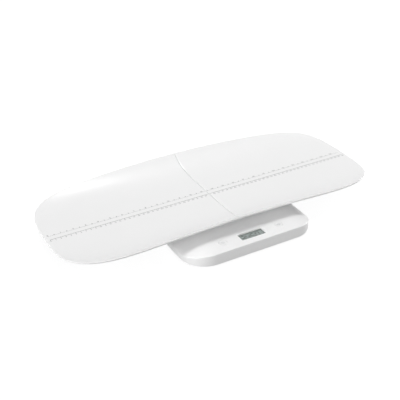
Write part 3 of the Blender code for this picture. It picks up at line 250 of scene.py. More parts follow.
@dataclass(frozen=True)
class ClearFinish(Finish):
    """Polished clear acrylic: it passes nearly all light and mirrors the room a little."""

    ior: float = 1.49
    alpha: float = 0.08
    grain_mm: float = 4.0
    relief_mm: float = 0.001
    roughness_swing: float = 0.01


@dataclass(frozen=True)
class RubberFinish(Finish):
    """Moulded rubber: dark, dull and slightly dusty."""

    roughness_swing: float = 0.08


@dataclass(frozen=True)
class CableJacket(RubberFinish):
    """Soft extruded sheath: dull like rubber, but smoother."""

    relief_mm: float = 0.004


@dataclass(frozen=True)
class SteelFinish(Finish):
    """Plated or rolled steel: fine lines along X left by rolling."""

    metallic: float = 1.0
    line_stretch: float = 18.0

    def grain(self, tree: NodeTree, place: Socket) -> Socket:
        """Noise drawn out along X, so that it reads as rolling lines."""
        mapped = add_node(tree, "ShaderNodeMapping", Vector=place,
                          Scale=(1 / self.line_stretch, 1.0, 1.0))
        noise = add_node(tree, "ShaderNodeTexNoise", Vector=mapped.outputs[0], Detail=4.0,
                         Scale=1 / (self.grain_mm * MM))
        return noise.outputs["Fac"]


@dataclass(frozen=True)
class LaminateFinish(Finish):
    """Circuit board laminate: solder mask that is lighter over its copper tracks."""

    second: str = "#1f5f36"
    cell_mm: float = 7.2
    track_share: float = 0.12

    def mask(self, tree: NodeTree, place: Socket) -> Socket:
        """Tracks on the borders of the board's cells."""
        cells = add_node(tree, "ShaderNodeTexVoronoi",
                         {"distance": "MANHATTAN", "feature": "DISTANCE_TO_EDGE"},
                         Vector=place, Scale=1 / (self.cell_mm * MM))
        near = add_node(tree, "ShaderNodeMath", {"operation": "LESS_THAN"},
                        i0=cells.outputs["Distance"], i1=self.track_share)
        return near.outputs[0]


@dataclass(frozen=True)
class SleeveFinish(Finish):
    """Printed sleeve of a dry cell: a dark body with a lighter band at its plus end."""

    second: str = "#8a8d90"
    band_from: float = 12.0 * MM

    def mask(self, tree: NodeTree, place: Socket) -> Socket:
        """The end of the sleeve beyond `band_from` along X."""
        parts = add_node(tree, "ShaderNodeSeparateXYZ", Vector=place)
        beyond = add_node(tree, "ShaderNodeMath", {"operation": "GREATER_THAN"},
                          i0=parts.outputs["X"], i1=self.band_from)
        return beyond.outputs[0]


# Every finish on the scale, by the record's slot, or by a print's own word.
FINISHES: dict[str, Finish] = {
    # satin white ABS: reads as a soft, even white that rolls off to light grey
    "tray_white_abs": MouldedPlastic("satin_white_abs_tray", "#f0f0f0", "#eeeeee", 0.26),
    # the same ABS on the base, from its own mould, a little less glossy
    "white_abs": MouldedPlastic("satin_white_abs_base", "#f0f0f0", "#eeeeee", 0.32),
    # matt ABS of the hidden floor: greyer, with a coarser grain
    "floor_white_abs": MouldedPlastic("matt_white_abs_floor", "#e4e4e3", "#e0e0df", 0.55,
                                      grain_mm=1.1, relief_mm=0.03),
    # key caps: the cover's white, but duller
    "key_white_abs": MouldedPlastic("satin_white_abs_key", "#ededed", "#ebebeb", 0.40),
    # mid grey print of the ruler, and the paler print of the signs on the keys
    "ruler_ink": PrintedInk("grey_pad_print_ruler", "#9c9c9c", "#989898", 0.55),
    "key_ink": PrintedInk("grey_pad_print_keys", "#a6a8aa", "#a2a4a6", 0.55),
    # reflective liquid crystal: grey-green, with green-black driven segments
    "display_glass": LiquidCrystal("liquid_crystal_reflector", "#8f9b96", "#8a9691", 0.34),
    "segment": LiquidCrystal("liquid_crystal_segment", "#26312f", "#222d2b", 0.34),
    # clear acrylic window: nearly invisible but for its gloss
    "clear_acrylic": ClearFinish("clear_acrylic_window", "#f2f5f4", "#f2f5f4", 0.08),
    # black and ivory nylon of the small inner mouldings: even, with a soft sheen
    "black_plastic": MouldedPlastic("black_moulded_nylon", "#1b1b1c", "#202021", 0.48),
    "ivory_nylon": MouldedPlastic("ivory_moulded_nylon", "#ddd5bd", "#d6cdb3", 0.5),
    # green solder mask: dark, half glossy, with the tracks showing through
    "board_laminate": LaminateFinish("green_masked_laminate", "#17472a", "#143f25", 0.38),
    # cast epoxy of the chip: nearly black, with a tight gloss
    "black_epoxy": MouldedPlastic("black_cast_epoxy", "#0d0d0e", "#121213", 0.24),
    # zinc plate is neutral and half bright, nickel warmer and brighter
    "zinc_steel": SteelFinish("zinc_plated_steel", "#b9babb", "#aeb0b2", 0.34,
                              grain_mm=0.5, relief_mm=0.004),
    "nickel_strip": SteelFinish("nickel_plated_strip", "#c9c5bd", "#bfbab0", 0.26,
                                grain_mm=0.4, relief_mm=0.003),
    # printed film on the cells: dark and glossy
    "battery_can": SleeveFinish("dry_cell_sleeve", "#2a2c30", "#26282c", 0.32,
                                grain_mm=0.6, relief_mm=0.002),
    # foot discs of grey nylon, on dull grey rubber pads
    "foot_nylon": MouldedPlastic("grey_moulded_nylon_foot", "#c4c5c6", "#bdbec0", 0.46),
    "foot_rubber": RubberFinish("grey_foot_rubber", "#8f9193", "#86888a", 0.78,
                                grain_mm=0.6, relief_mm=0.03),
    # carbon-filled rubber that carries current: sooty black
    "contact_rubber": RubberFinish("conductive_rubber", "#2b2b2c", "#323233", 0.7),
    # soft sheaths of the cables and leads
    "grey_cable_jacket": CableJacket("grey_cable_jacket", "#77797b", "#6f7173", 0.5),
    "red_lead_jacket": CableJacket("red_wire_jacket", "#b5221c", "#a61d18", 0.5),
}


@functools.cache
def material(finish: str) -> Material:
    """The material of a finish, made the first time it is asked for."""
    return FINISHES[finish].build()


def coat(piece: Piece, finish: str) -> None:
    """Give a piece one material and no other."""
    piece.data.materials.clear()
    piece.data.materials.append(material(finish))


def dress(piece: Piece, body: str, slot: str, *nodes: str, ink: str = "") -> None:
    """Give a piece its finish and body, and say which solids it stands for.

    Args:
        piece: the finished piece.
        body: the body that it rides on.
        slot: the record's slot, whose finish it has.
        *nodes: the solids that it replaces.
        ink: a print's own finish, instead of the slot's.
    """
    coat(piece, ink or slot)
    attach(piece, body)
    if nodes:
        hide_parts(*nodes)
    LOG.info("%s on %s, in place of %s", piece.name, body, ", ".join(nodes) or "no solid")


# ---- Surfaces


def grid_faces(rows: int, cols: int, wrap_rows: bool = False,
               wrap_cols: bool = False) -> Array:
    """Number the corners of each quad in a grid of points stored row by row.

    Args:
        rows: how many rows of points there are.
        cols: how many points a row has.
        wrap_rows: whether the last row joins the first.
        wrap_cols: whether the last point of a row joins its first.

    Returns:
        An array of four point numbers a quad.
    """
    i, j = np.meshgrid(np.arange(rows if wrap_rows else rows - 1),
                       np.arange(cols if wrap_cols else cols - 1), indexing="ij")
    i_next, j_next = (i + 1) % rows, (j + 1) % cols
    return np.stack([i * cols + j, i_next * cols + j, i_next * cols + j_next,
                     i * cols + j_next], axis=-1).reshape(-1, 4)


def tube_faces(rows: int, cols: int, closed: bool = False) -> list[list[int]]:
    """Number the faces of a tube of loops: its sides, and a cap at each end.

    Args:
        rows: how many loops there are.
        cols: how many points a loop has.
        closed: whether the last loop joins the first, so that there are no caps.

    Returns:
        The point numbers of each face.
    """
    faces = grid_faces(rows, cols, wrap_rows=closed, wrap_cols=True).tolist()
    if not closed:
        last = (rows - 1) * cols
        faces += [list(range(cols))[::-1], list(range(last, last + cols))]
    return faces


def solid(name: str, points: Array, faces: Faces, under_deg: float = 40.0,
          merged: float = 0.002 * MM) -> Piece:
    """Put points and faces into a new object with outward faces and smooth shading.

    Args:
        name: the piece's name.
        points: the points, three numbers each, in the object's frame.
        faces: the point numbers of each face.
        under_deg: edges sharper than this angle stay crisp.
        merged: points within this distance become one.

    Returns:
        The new object, at the origin.
    """
    mesh = bpy.data.meshes.new(name)
    mesh.from_pydata(points.reshape(-1, 3).tolist(), [], [list(map(int, f)) for f in faces])
    bm = bmesh.new()
    bm.from_mesh(mesh)
    bmesh.ops.remove_doubles(bm, verts=bm.verts, dist=merged)
    bmesh.ops.recalc_face_normals(bm, faces=bm.faces)
    bm.to_mesh(mesh)
    bm.free()
    made = bpy.data.objects.new(name, mesh)
    bpy.context.scene.collection.objects.link(made)
    smooth(made, under_deg)
    return made


def smooth(piece: Piece, under_deg: float) -> None:
    """Shade a piece smooth, apart from edges sharper than an angle."""
    piece.data.shade_smooth()
    piece.data.set_sharp_from_angle(angle=math.radians(under_deg))


def applied(piece: Piece, under_deg: float) -> Piece:
    """Fix a piece's modifiers into its mesh."""
    bpy.context.view_layer.update()
    evaluated = piece.evaluated_get(bpy.context.evaluated_depsgraph_get())
    mesh = bpy.data.meshes.new_from_object(evaluated)
    piece.modifiers.clear()
    piece.data = mesh
    smooth(piece, under_deg)
    return piece


def cut(piece: Piece, cutters: Sequence[Piece], under_deg: float) -> Piece:
    """Take the cutters away from a piece, and delete them."""
    for cutter in cutters:
        step = piece.modifiers.new(cutter.name, "BOOLEAN")
        step.operation, step.solver, step.object = "DIFFERENCE", "EXACT", cutter
    applied(piece, under_deg)
    for cutter in cutters:
        bpy.data.objects.remove(cutter, do_unlink=True)
    return piece


def lathe(name: str, centre: Pair, profile: Array, steps: int = 96) -> Piece:
    """Turn a profile about an upright axis.

    A point of the solid is the centre plus radius times (cos a, sin a), at the profile's
    height, for `steps` angles a round the axis.

    Args:
        name: the piece's name.
        centre: the axis's place in X and Y.
        profile: rows of radius and height, which start and end on the axis.
        steps: how many angles.

    Returns:
        The closed turned piece.
    """
    angle = np.linspace(0, 2 * math.pi, steps, endpoint=False)[:, None]
    radius, height = profile[:, 0][None], profile[:, 1][None]
    points = np.stack([centre[0] + radius * np.cos(angle), centre[1] + radius * np.sin(angle),
                       height + 0 * angle], axis=-1)
    return solid(name, points, grid_faces(steps, len(profile), wrap_rows=True))


def rounded(profile: Sequence[Pair], radius: float, steps: int = 4,
            most_share: float = 0.45) -> Array:
    """Round the inner corners of a profile.

    Each corner becomes a curve (1 - t)^2 start + 2 t (1 - t) corner + t^2 end, between points
    one radius before and after it, or less where a side is short.

    Args:
        profile: the corners in order.
        radius: how far from a corner its curve starts.
        steps: points on each curve.
        most_share: the most of a side that one curve may take.

    Returns:
        The points of the rounded profile.
    """
    knots = np.array(profile, dtype=float)
    out = [knots[0]]
    t = np.linspace(0, 1, steps)[:, None]
    for before, corner, after in zip(knots, knots[1:], knots[2:]):
        start, end = (corner + v * min(radius / np.linalg.norm(v), most_share)
                      for v in (before - corner, after - corner))
        out.extend((1 - t) ** 2 * start + 2 * t * (1 - t) * corner + t ** 2 * end)
    out.append(knots[-1])
    return np.array(out)


def rounded_loop(half: Pair, radius: float, steps: int = 4) -> Array:
    """Points round a rectangle whose corners are quarter circles.

    Args:
        half: half its size in X and in Y.  Where both are the radius, it is a circle.
        radius: the corners' radius.
        steps: points on each corner.

    Returns:
        Rows of X and Y, anticlockwise from the right side's back end.
    """
    quarter = np.linspace(0, math.pi / 2, steps)
    corners = []
    for turn, (sx, sy) in enumerate(((1, 1), (-1, 1), (-1, -1), (1, -1))):
        angle = quarter + turn * math.pi / 2
        corners.append(np.stack([sx * (half[0] - radius) + radius * np.cos(angle),
                                 sy * (half[1] - radius) + radius * np.sin(angle)], axis=1))
    return np.concatenate(corners)


def level(points: Array, value: float) -> Array:
    """The points with one more coordinate, which is the same for all."""
    return np.column_stack([points, np.full(len(points), value)])


def loft(name: str, loops: Sequence[Array]) -> Piece:
    """Join closed loops of equal length into a solid with a flat cap at each end."""
    return solid(name, np.stack(loops), tube_faces(len(loops), len(loops[0])))


def middle(node: str) -> Pair:
    """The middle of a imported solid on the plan."""
    low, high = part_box(node)
    return (low.x + high.x) / 2, (low.y + high.y) / 2


@dataclass
class Marks:
    """Flat marks of ink or crystal, gathered to be laid on a surface as one piece.

    A mark's points have a place on the plan, and -1 or 1 for its under or its upper side.
    """

    points: list[Array] = field(default_factory=list)
    faces: list[list[int]] = field(default_factory=list)
    count: int = 0

    def add(self, points: Array, faces: Faces) -> None:
        """Gather a mark."""
        self.faces += [[self.count + k for k in face] for face in faces]
        self.points.append(points)
        self.count += len(points)

    def plate(self, outline: Array) -> None:
        """Gather a flat plate with an outline of rows of X and Y."""
        self.add(np.concatenate([level(outline, side) for side in (-1, 1)]),
                 tube_faces(2, len(outline)))

    def band(self, near: Array, far: Array, closed: bool = False) -> None:
        """Gather a ribbon between two rows of X and Y, or a ring where the rows close."""
        loops = np.stack([level(row, side) for row, side in
                          ((near, -1), (far, -1), (far, 1), (near, 1))], axis=1)
        self.add(loops.reshape(-1, 3), tube_faces(len(near), 4, closed))

    def laid(self, name: str, height: Callable[[Array, Array], Array],
             ink: float) -> Piece:
        """Make the marks one piece, each point at height(x, y) plus or minus the ink."""
        x, y, side = np.concatenate(self.points).T
        return solid(name, np.column_stack([x, y, height(x, y) + ink * side]), self.faces)


# ---- The tray


@dataclass
class TraySurface:
    """The upper face of the tray, as a formula over its plan."""

    length: float = 697.6 * MM
    width: float = 287.76 * MM
    end_power: float = 6.0  # of the outline along X
    side_power: float = 3.4  # of the outline along Y
    end_rise: float = 0.95 * MM
    middle_rise: float = 23.8 * MM
    corner_rise: float = 10.0 * MM
    rise_power: float = 5.5  # how late the sides turn up
    bell_power: float = 1.5  # how the long edge falls from its middle rise to its corner rise
    bell_share: float = 0.86  # of the half length, where that fall ends
    end_margin: float = 17.0 * MM  # beyond the end, to where the sides would meet
    outline_steps: int = 8
    slope_step: float = 0.2 * MM

    def side_rise(self, x: Array) -> Array:
        """How far the long edge stands above the middle, at places along the tray.

        It is the corner's rise, plus the rest times (1 - (x / reach)^2) to the bell's power.
        """
        reach = self.bell_share * self.length / 2
        bell = np.clip(1 - (x / reach) ** 2, 0, None) ** self.bell_power
        return self.corner_rise + (self.middle_rise - self.corner_rise) * bell

    def outline_share(self, s: Array, t: Array) -> Array:
        """How far out towards the unit square the outline lies, in the direction of (s, t).

        Newton's steps solve (k s)^p + (k t)^q = 1 for the share k, with s and t first set on
        the square's edge.

        Args:
            s: shares along the tray, from 0 to 1.
            t: shares across it, from 0 to 1.

        Returns:
            The share k at each place.
        """
        square = np.maximum(s, t)
        tiny = np.finfo(float).tiny
        s, t = (np.where(square > 0, v / np.maximum(square, tiny), 1.0) for v in (s, t))
        share = np.ones_like(s)
        for _ in range(self.outline_steps):
            along = (share * s) ** self.end_power
            across = (share * t) ** self.side_power
            slope = (self.end_power * along + self.side_power * across) / share
            share = share - (along + across - 1) / slope
        return share

    def height(self, x: Array, y: Array) -> Array:
        """Height of the upper face at a place on the plan.

        The ends lift with the square of x, and the sides with a high power of y over the half
        width, which narrows towards the ends as a superellipse does.

        Args:
            x: places along the tray.
            y: places across it, from its middle line.

        Returns:
            The heights in the part's frame.
        """
        reach = self.length / 2 + self.end_margin
        half = self.width / 2 * (1 - np.abs(x / reach) ** self.end_power) ** (
            1 / self.side_power)
        ends = self.end_rise * (2 * x / self.length) ** 2
        return TRAY_Z + ends + self.side_rise(x) * (np.abs(y) / half) ** self.rise_power

    def steepness(self, x: Array, y: Array) -> Array:
        """Length of the surface's upright normal, from its slopes in X and Y."""
        step = self.slope_step
        slope_x = (self.height(x + step, y) - self.height(x - step, y)) / (2 * step)
        slope_y = (self.height(x, y + step) - self.height(x, y - step)) / (2 * step)
        return np.sqrt(1 + slope_x ** 2 + slope_y ** 2)


@functools.cache
def glyph(digit: str, bold_share: float, curve_steps: int = 3) -> tuple[Array, list[list[int]]]:
    """A digit of the built-in font, as a flat mark of height one.

    Args:
        digit: the digit.
        bold_share: how far its outline is moved out, as a share of the font's size.
        curve_steps: how finely its curves are divided.

    Returns:
        Its points, as `Marks` takes them, and its faces.
    """
    curve = bpy.data.curves.new("digit", "FONT")
    curve.body, curve.offset, curve.resolution_u = digit, bold_share, curve_steps
    curve.extrude = 1.0  # any depth does, because only a point's side is kept
    shown = bpy.data.objects.new("digit", curve)
    bpy.context.scene.collection.objects.link(shown)
    bpy.context.view_layer.update()
    mesh = shown.to_mesh()
    points = np.empty(len(mesh.vertices) * 3)
    mesh.vertices.foreach_get("co", points)
    points = points.reshape(-1, 3)
    points[:, :2] /= np.ptp(points[:, 1])
    points[:, 2] = np.sign(points[:, 2])
    faces = [list(polygon.vertices) for polygon in mesh.polygons]
    shown.to_mesh_clear()
    bpy.data.objects.remove(shown, do_unlink=True)
    return points, faces


@dataclass
class Ruler:
    """The printed length ruler: centimetres towards the reader, half inches behind.

    A tick is given by its width along the ruler and its length across it.
    """

    surface: TraySurface
    line_width: float = 0.95 * MM
    inch_line_width: float = 0.475 * MM
    line_points: int = 60
    reach: float = 340.0 * MM
    seam_clear: float = 2.0 * MM
    ink: float = 0.05 * MM
    half_cm: float = 5.0 * MM
    half_cm_tick: Pair = (0.45 * MM, 1.0 * MM)
    cm_tick: Pair = (0.72 * MM, 1.8 * MM)
    digit_height: float = 3.4 * MM
    digit_gap: float = 0.4 * MM
    digit_space_share: float = 0.18
    digit_bold_share: float = 0.02
    inch: float = 25.4 * MM
    inch_row: float = 15.0 * MM
    inch_drop: float = 3.0 * MM
    inch_tick: Pair = (1.3 * MM, 3.2 * MM)
    inch_digit_share: float = 1.25

    def half(self, side: Side) -> None:
        """Print one half of the tray: each mark takes the height of the surface under it."""
        marks = Marks()
        inch_y = RULER_Y + self.inch_row
        inch_line = inch_y - self.inch_drop
        self.line(marks, side, RULER_Y, self.line_width)
        self.line(marks, side, inch_line, self.inch_line_width)
        start = RULER_Y - self.line_width / 2
        digit_y = start - self.cm_tick[1] - self.digit_gap - self.digit_height / 2
        for step in range(1, round(self.reach / self.half_cm) + 1):
            x = side.value * step * self.half_cm
            if step % 2:
                self.tick(marks, x, start, End.FRONT, self.half_cm_tick)
            else:
                self.tick(marks, x, start, End.FRONT, self.cm_tick)
                number = round((x + self.reach) / (2 * self.half_cm))
                self.numeral(marks, number, x, digit_y, self.digit_height)
        inches = int(2 * self.reach / self.inch)
        for step in range(2 * inches + 1):
            x = step * self.inch / 2 - self.reach
            if x * side.value < self.seam_clear:
                continue
            if step % 2:
                self.tick(marks, x, inch_line, End.BACK, self.inch_tick)
            else:
                self.numeral(marks, step // 2, x, inch_y,
                             self.digit_height * self.inch_digit_share)
        made = marks.laid(f"ruler_print_{side.word}",
                          lambda x, y: self.surface.height(x, y - TRAY_Y), self.ink)
        dress(made, f"tray_{side.word}_half", "tray_white_abs", ink="ruler_ink")

    def line(self, marks: Marks, side: Side, y: float, width: float) -> None:
        """Add one half of a base line, in steps that follow the surface."""
        x = side.value * np.linspace(self.seam_clear / 2, self.reach, self.line_points)
        marks.band(level(x, y - width / 2), level(x, y + width / 2))

    def tick(self, marks: Marks, x: float, start: float, way: End, size: Pair) -> None:
        """Add a tick that runs from `start` towards the front or the back."""
        ends = x + np.array([-0.5, 0.5]) * size[0]
        marks.band(level(ends, start), level(ends, start + way.value * size[1]))

    def numeral(self, marks: Marks, number: int, x: float, y: float,
                height: float) -> None:
        """Add a number, centred at a place on the plan."""
        signs, pen = Marks(), 0.0
        for digit in str(number):
            shape, faces = glyph(digit, self.digit_bold_share)
            signs.add(shape + (pen - shape[:, 0].min(), 0, 0), faces)
            pen += np.ptp(shape[:, 0]) + self.digit_space_share
        points = np.concatenate(signs.points)
        centre = (points.min(axis=0) + points.max(axis=0)) / 2
        marks.add((points - centre) * (height, height, 1) + (x, y, 0), signs.faces)


@dataclass(frozen=True)
class PegPattern:
    """The tray's pegs, and where they stand in the sockets of the base."""

    reach: float = 66.0 * MM
    spacing: float = 120.0 * MM
    radius: float = 5.5 * MM
    depth: float = 8.5 * MM

    def places(self, side: Side) -> list[tuple[str, Pair]]:
        """The end and place of each peg under one half."""
        return [(end.word, (side.value * self.reach, TRAY_Y + end.value * self.spacing / 2))
                for end in End]


@dataclass
class Tray:
    """The curved tray: two shells that meet at a seam, each with its rest frame and pegs."""

    surface: TraySurface = field(default_factory=TraySurface)
    pegs: PegPattern = PegPattern()
    wall: float = 3.2 * MM
    steepest: float = 1.5  # how many walls deep it is at most, where the surface is steep
    undercut: float = 0.4 * MM  # how far the lower rim lies inside the upper one
    edge_round: float = 2.3 * MM
    edge_steps: int = 5
    under_share: float = 0.35  # of the round, along the lower rim
    crisp_deg: float = 50.0
    columns: int = 66
    rows: int = 64
    crowding: float = 0.1  # how strongly the grid's rows draw together at its rim
    frame_length: float = 80.0 * MM
    frame_width: float = 176.0 * MM
    rib: float = 2.6 * MM
    rib_cover: float = 1.2 * MM  # of shell over a rib
    rib_corner: float = 0.5 * MM
    rib_foot: tuple[Pair, Pair] = ((0.4 * MM, 0.0), (0.25 * MM, 0.3 * MM))  # inset, rise
    peg_tip: float = 1.2 * MM
    peg_steps: int = 48

    def build(self) -> None:
        """Make both halves, their undersides and their print."""
        for side in Side:
            self.shell(side)
            self.rest_frame(side)
            Ruler(self.surface).half(side)

    def shell(self, side: Side) -> None:
        """Make one half of the tray, with its wall and its rounded edge.

        A square grid of s from 0 to 1 and t from -1 to 1, a little closer towards its rim, is
        drawn in until the rim lies on the outline |s|^p + |t|^q = 1.  The upper points take
        the surface's height, and the lower ones lie one wall below it, drawn in a little.
        """
        s, t = np.meshgrid(np.linspace(0, 1, self.columns + 1),
                           np.linspace(-1, 1, self.rows + 1), indexing="ij")
        s, t = ((1 + self.crowding) * v - self.crowding * v ** 3 for v in (s, t))
        pull = self.surface.outline_share(s, np.abs(t))
        layers = []
        for inset, wall in ((0.0, 0.0), (self.undercut, self.wall)):
            x = GAP / 2 + (self.surface.length / 2 - GAP / 2 - inset) * s * pull
            y = (self.surface.width / 2 - inset) * t * pull
            below = wall * np.minimum(self.surface.steepness(x, y), self.steepest)
            layers.append(np.stack([side.value * x, y + TRAY_Y,
                                    self.surface.height(x, y) - below], axis=-1))
        count = s.size
        quads = grid_faces(*s.shape)
        number = np.arange(count).reshape(s.shape)
        rim = np.concatenate([number[0, :-1], number[:-1, -1], number[-1, :0:-1],
                              number[:0:-1, 0]])
        ahead = np.roll(rim, -1)
        walls = np.stack([rim, ahead, ahead + count, rim + count], axis=1)
        made = solid(f"tray_shell_{side.word}", np.stack(layers),
                     np.concatenate([quads, quads[:, ::-1] + count, walls]))
        self.round_rim(made, rim, count)
        dress(made, f"tray_{side.word}_half", "tray_white_abs", f"tray_{side.word}")

    def round_rim(self, made: Piece, rim: Array, count: int) -> None:
        """Round a half's rim: fully above and at the seam, less below.

        Args:
            made: the half's shell, whose upper points come first.
            rim: the point numbers round its upper rim.
            count: how many upper points there are.
        """
        ends = np.empty(2 * len(made.data.edges), int)
        made.data.edges.foreach_get("vertices", ends)
        ends = ends.reshape(-1, 2)
        on_rim = np.zeros(2 * count, bool)
        on_rim[rim], on_rim[rim + count] = True, True
        low = ends >= count
        along_rim = (on_rim[ends].all(axis=1) & (low[:, 0] == low[:, 1])
                     & np.isin(np.abs(ends[:, 0] - ends[:, 1]), (1, self.rows + 1)))
        at_seam = (ends % count <= self.rows).all(axis=1)
        share = np.where(low[:, 0] & ~at_seam, self.under_share, 1.0)
        weight = made.data.attributes.new("bevel_weight_edge", "FLOAT", "EDGE")
        weight.data.foreach_set("value", np.where(along_rim, share, 0.0))
        bevel = made.modifiers.new("edge", "BEVEL")
        bevel.width, bevel.segments = self.edge_round, self.edge_steps
        bevel.limit_method, bevel.harden_normals = "WEIGHT", True
        applied(made, self.crisp_deg)

    def rest_frame(self, side: Side) -> None:
        """Make the low rails and the two pegs that set a half on the base."""
        body = f"tray_{side.word}_half"
        low, high = BASE_TOP + GAP, TRAY_Z - self.rib_cover
        near, far, half, rib = GAP / 2, self.frame_length, self.frame_width / 2, self.rib
        between = (near + rib, far - rib)
        rails = {"seam_rail": ((near, near + rib), (-half, half)),
                 "end_rail": ((far - rib, far), (-half, half)),
                 "front_rail": (between, (-half, rib - half)),
                 "back_rail": (between, (half - rib, half)),
                 "middle_rail": (between, (-rib / 2, rib / 2))}
        sections = [(inset, low + rise) for inset, rise in self.rib_foot] + [(0.0, high)]
        for name, (along, across) in rails.items():
            centre = (side.value * sum(along) / 2, TRAY_Y + sum(across) / 2)
            x, y = (along[1] - along[0]) / 2, (across[1] - across[0]) / 2
            loops = [level(rounded_loop((x - inset, y - inset), self.rib_corner) + centre, z)
                     for inset, z in sections]
            dress(loft(f"{name}_{side.word}", loops), body, "tray_white_abs")
        radius, tip = self.pegs.radius, BASE_TOP - self.pegs.depth
        profile = rounded([(0.0, high), (radius, high), (radius, tip), (0.0, tip)],
                          self.peg_tip)
        for end, place in self.pegs.places(side):
            dress(lathe(f"peg_{end}_{side.word}", place, profile, self.peg_steps), body,
                  "tray_white_abs")


# ---- The base


@dataclass
class Housing:
    """The base: its cover with the sockets under it, and its feet."""

    pegs: PegPattern = PegPattern()
    half_width: float = 140.5 * MM
    front: float = -168.75 * MM
    back: float = 146.25 * MM
    bottom: float = 5.0 * MM
    corner: float = 52.0 * MM
    wall: float = 2.4 * MM
    roof: float = 3.0 * MM
    edge: float = 1.5 * MM
    edge_steps: int = 7
    corner_steps: int = 36
    crisp_deg: float = 35.0
    roll_reach: float = 60.0 * MM
    roll_drop: float = 15.0 * MM
    roll_steps: int = 5
    window_half: Pair = (26.6 * MM, 10.2 * MM)
    window_corner: float = 0.6 * MM
    window_steps: int = 6
    hole_steps: int = 17
    socket_play: float = 1.5 * GAP  # round a peg
    socket_spare: float = 2 * GAP  # under a peg
    socket_wall: float = 1.8 * MM
    socket_steps: int = 64
    stud_radius: float = 1.7 * MM
    stake_radius: float = 3.4 * MM
    stake_height: float = 1.0 * MM
    hub_radius: float = 6.0 * MM
    hub_height: float = 2.5 * MM
    disc_height: float = 4.2 * MM
    disc_round: float = 0.8 * MM
    groove: float = 0.6 * MM
    groove_shares: tuple[float, ...] = (0.78, 0.56, 0.34)
    pad_round: float = 0.35 * MM
    pad_steps: int = 3

    def build(self) -> None:
        """Make the cover, its sockets and the feet."""
        self.cover()
        for side in Side:
            self.sockets(side)
        for tag in (f"{end.word}_{side.word}" for end in End for side in Side):
            self.foot("disc", tag, "foot_nylon", self.disc_profile)
            self.foot("pad", tag, "foot_rubber", self.pad_profile)

    def rolled(self, x: Array) -> Array:
        """How far the top has rolled down, drop (1 - sqrt(1 - t^2)), t from 0 to 1 outwards."""
        share = np.clip((np.abs(x) - self.half_width + self.roll_reach) / self.roll_reach, 0, 1)
        return self.roll_drop * (1 - np.sqrt(1 - share ** 2))

    def ring(self, inset: float, below: float, height: float | None = None) -> Array:
        """One ring of the cover: along its front edge to the right, then back along its rear.

        The corners are quarter circles: x = start + r sin a, depth = inset + r (1 - cos a).

        Args:
            inset: how far the ring lies inside the base's outline.
            below: how far it lies below the rolled top.
            height: its height, if it is level and doesn't follow the top.

        Returns:
            The points; the k-th from the start and the k-th from the end share their x.
        """
        start, radius = self.half_width - self.corner, self.corner - inset
        angle = np.linspace(0, math.pi / 2, self.corner_steps)
        flat = np.linspace(self.half_width - self.roll_reach, start, self.roll_steps)[:-1]
        reach = np.concatenate([flat, start + radius * np.sin(angle)])
        depth = inset + np.concatenate([0 * flat, radius * (1 - np.cos(angle))])
        x = np.concatenate([-reach[::-1], reach])
        depth = np.concatenate([depth[::-1], depth])
        y = np.concatenate([self.front + depth, self.back - depth[::-1]])
        x = np.concatenate([x, x[::-1]])
        z = BASE_TOP - below - self.rolled(x) if height is None else np.full(len(x), height)
        return np.column_stack([x, y, z])

    def cover(self) -> None:
        """Make the white housing, as rings that run down its inside and up its outside.

        The fillet between wall and roof follows inset = r (1 - cos a), drop = r (1 - sin a).
        Roof and ceiling are strips from front to rear, because they roll down along X only.
        Then the holes for the window, the keys and the pegs are cut.
        """
        rings = [self.ring(self.wall, self.roof), self.ring(self.wall, 0.0, self.bottom),
                 self.ring(0.0, 0.0, self.bottom)]
        rings += [self.ring(self.edge * (1 - math.cos(a)), self.edge * (1 - math.sin(a)))
                  for a in np.linspace(0, math.pi / 2, self.edge_steps)]
        count = len(rings[0])
        k = np.arange(count // 2 - 1)
        strips = np.stack([k, count - 1 - k, count - 2 - k, k + 1], axis=1)
        last = (len(rings) - 1) * count
        faces = np.concatenate([grid_faces(len(rings), count, wrap_cols=True), strips,
                                strips[:, ::-1] + last])
        made = solid("base_cover", np.stack(rings), faces, self.crisp_deg)
        holes = [self.hole("window_cut", middle("display_window"), self.window_half,
                           self.window_corner, self.window_steps)]
        for side in Side:
            sizes = [("key_cut", middle(f"{side.word}_key"), KEY_RADIUS + GAP)]
            sizes += [("socket_cut", place, self.pegs.radius + self.socket_play)
                      for _, place in self.pegs.places(side)]
            holes += [self.hole(name, place, (radius, radius), radius, self.hole_steps)
                      for name, place, radius in sizes]
        dress(cut(made, holes, self.crisp_deg), "base", "white_abs", "top_cover")

    def hole(self, name: str, centre: Pair, half: Pair, radius: float,
             steps: int) -> Piece:
        """A cutter that reaches through the roof, with an outline as `rounded_loop` has it."""
        outline = rounded_loop(half, radius, steps) + centre
        return loft(name, [level(outline, z)
                           for z in (BASE_TOP - 2 * self.roof, BASE_TOP + self.roof)])

    def sockets(self, side: Side) -> None:
        """Make the cups under one half of the roof, which take the tray's pegs."""
        inner = self.pegs.radius + self.socket_play
        outer = inner + self.socket_wall
        top, floor = BASE_TOP - self.roof, BASE_TOP - self.pegs.depth - self.socket_spare
        under = floor - self.socket_wall
        profile = np.array([(0.0, floor), (inner, floor), (inner, top), (outer, top),
                            (outer, under), (0.0, under)])
        for end, place in self.pegs.places(side):
            dress(lathe(f"socket_{end}_{side.word}", place, profile, self.socket_steps),
                  "base", "white_abs")

    def foot(self, kind: str, tag: str, slot: str,
             profile: Callable[[float, float, float], Array]) -> None:
        """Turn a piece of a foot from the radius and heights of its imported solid."""
        node = f"foot_{kind}_{tag}"
        low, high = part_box(node)
        turned = profile((high.x - low.x) / 2, low.z, high.z)
        dress(lathe(f"foot_{kind}_skin_{tag}", middle(node), turned), "base", slot, node)

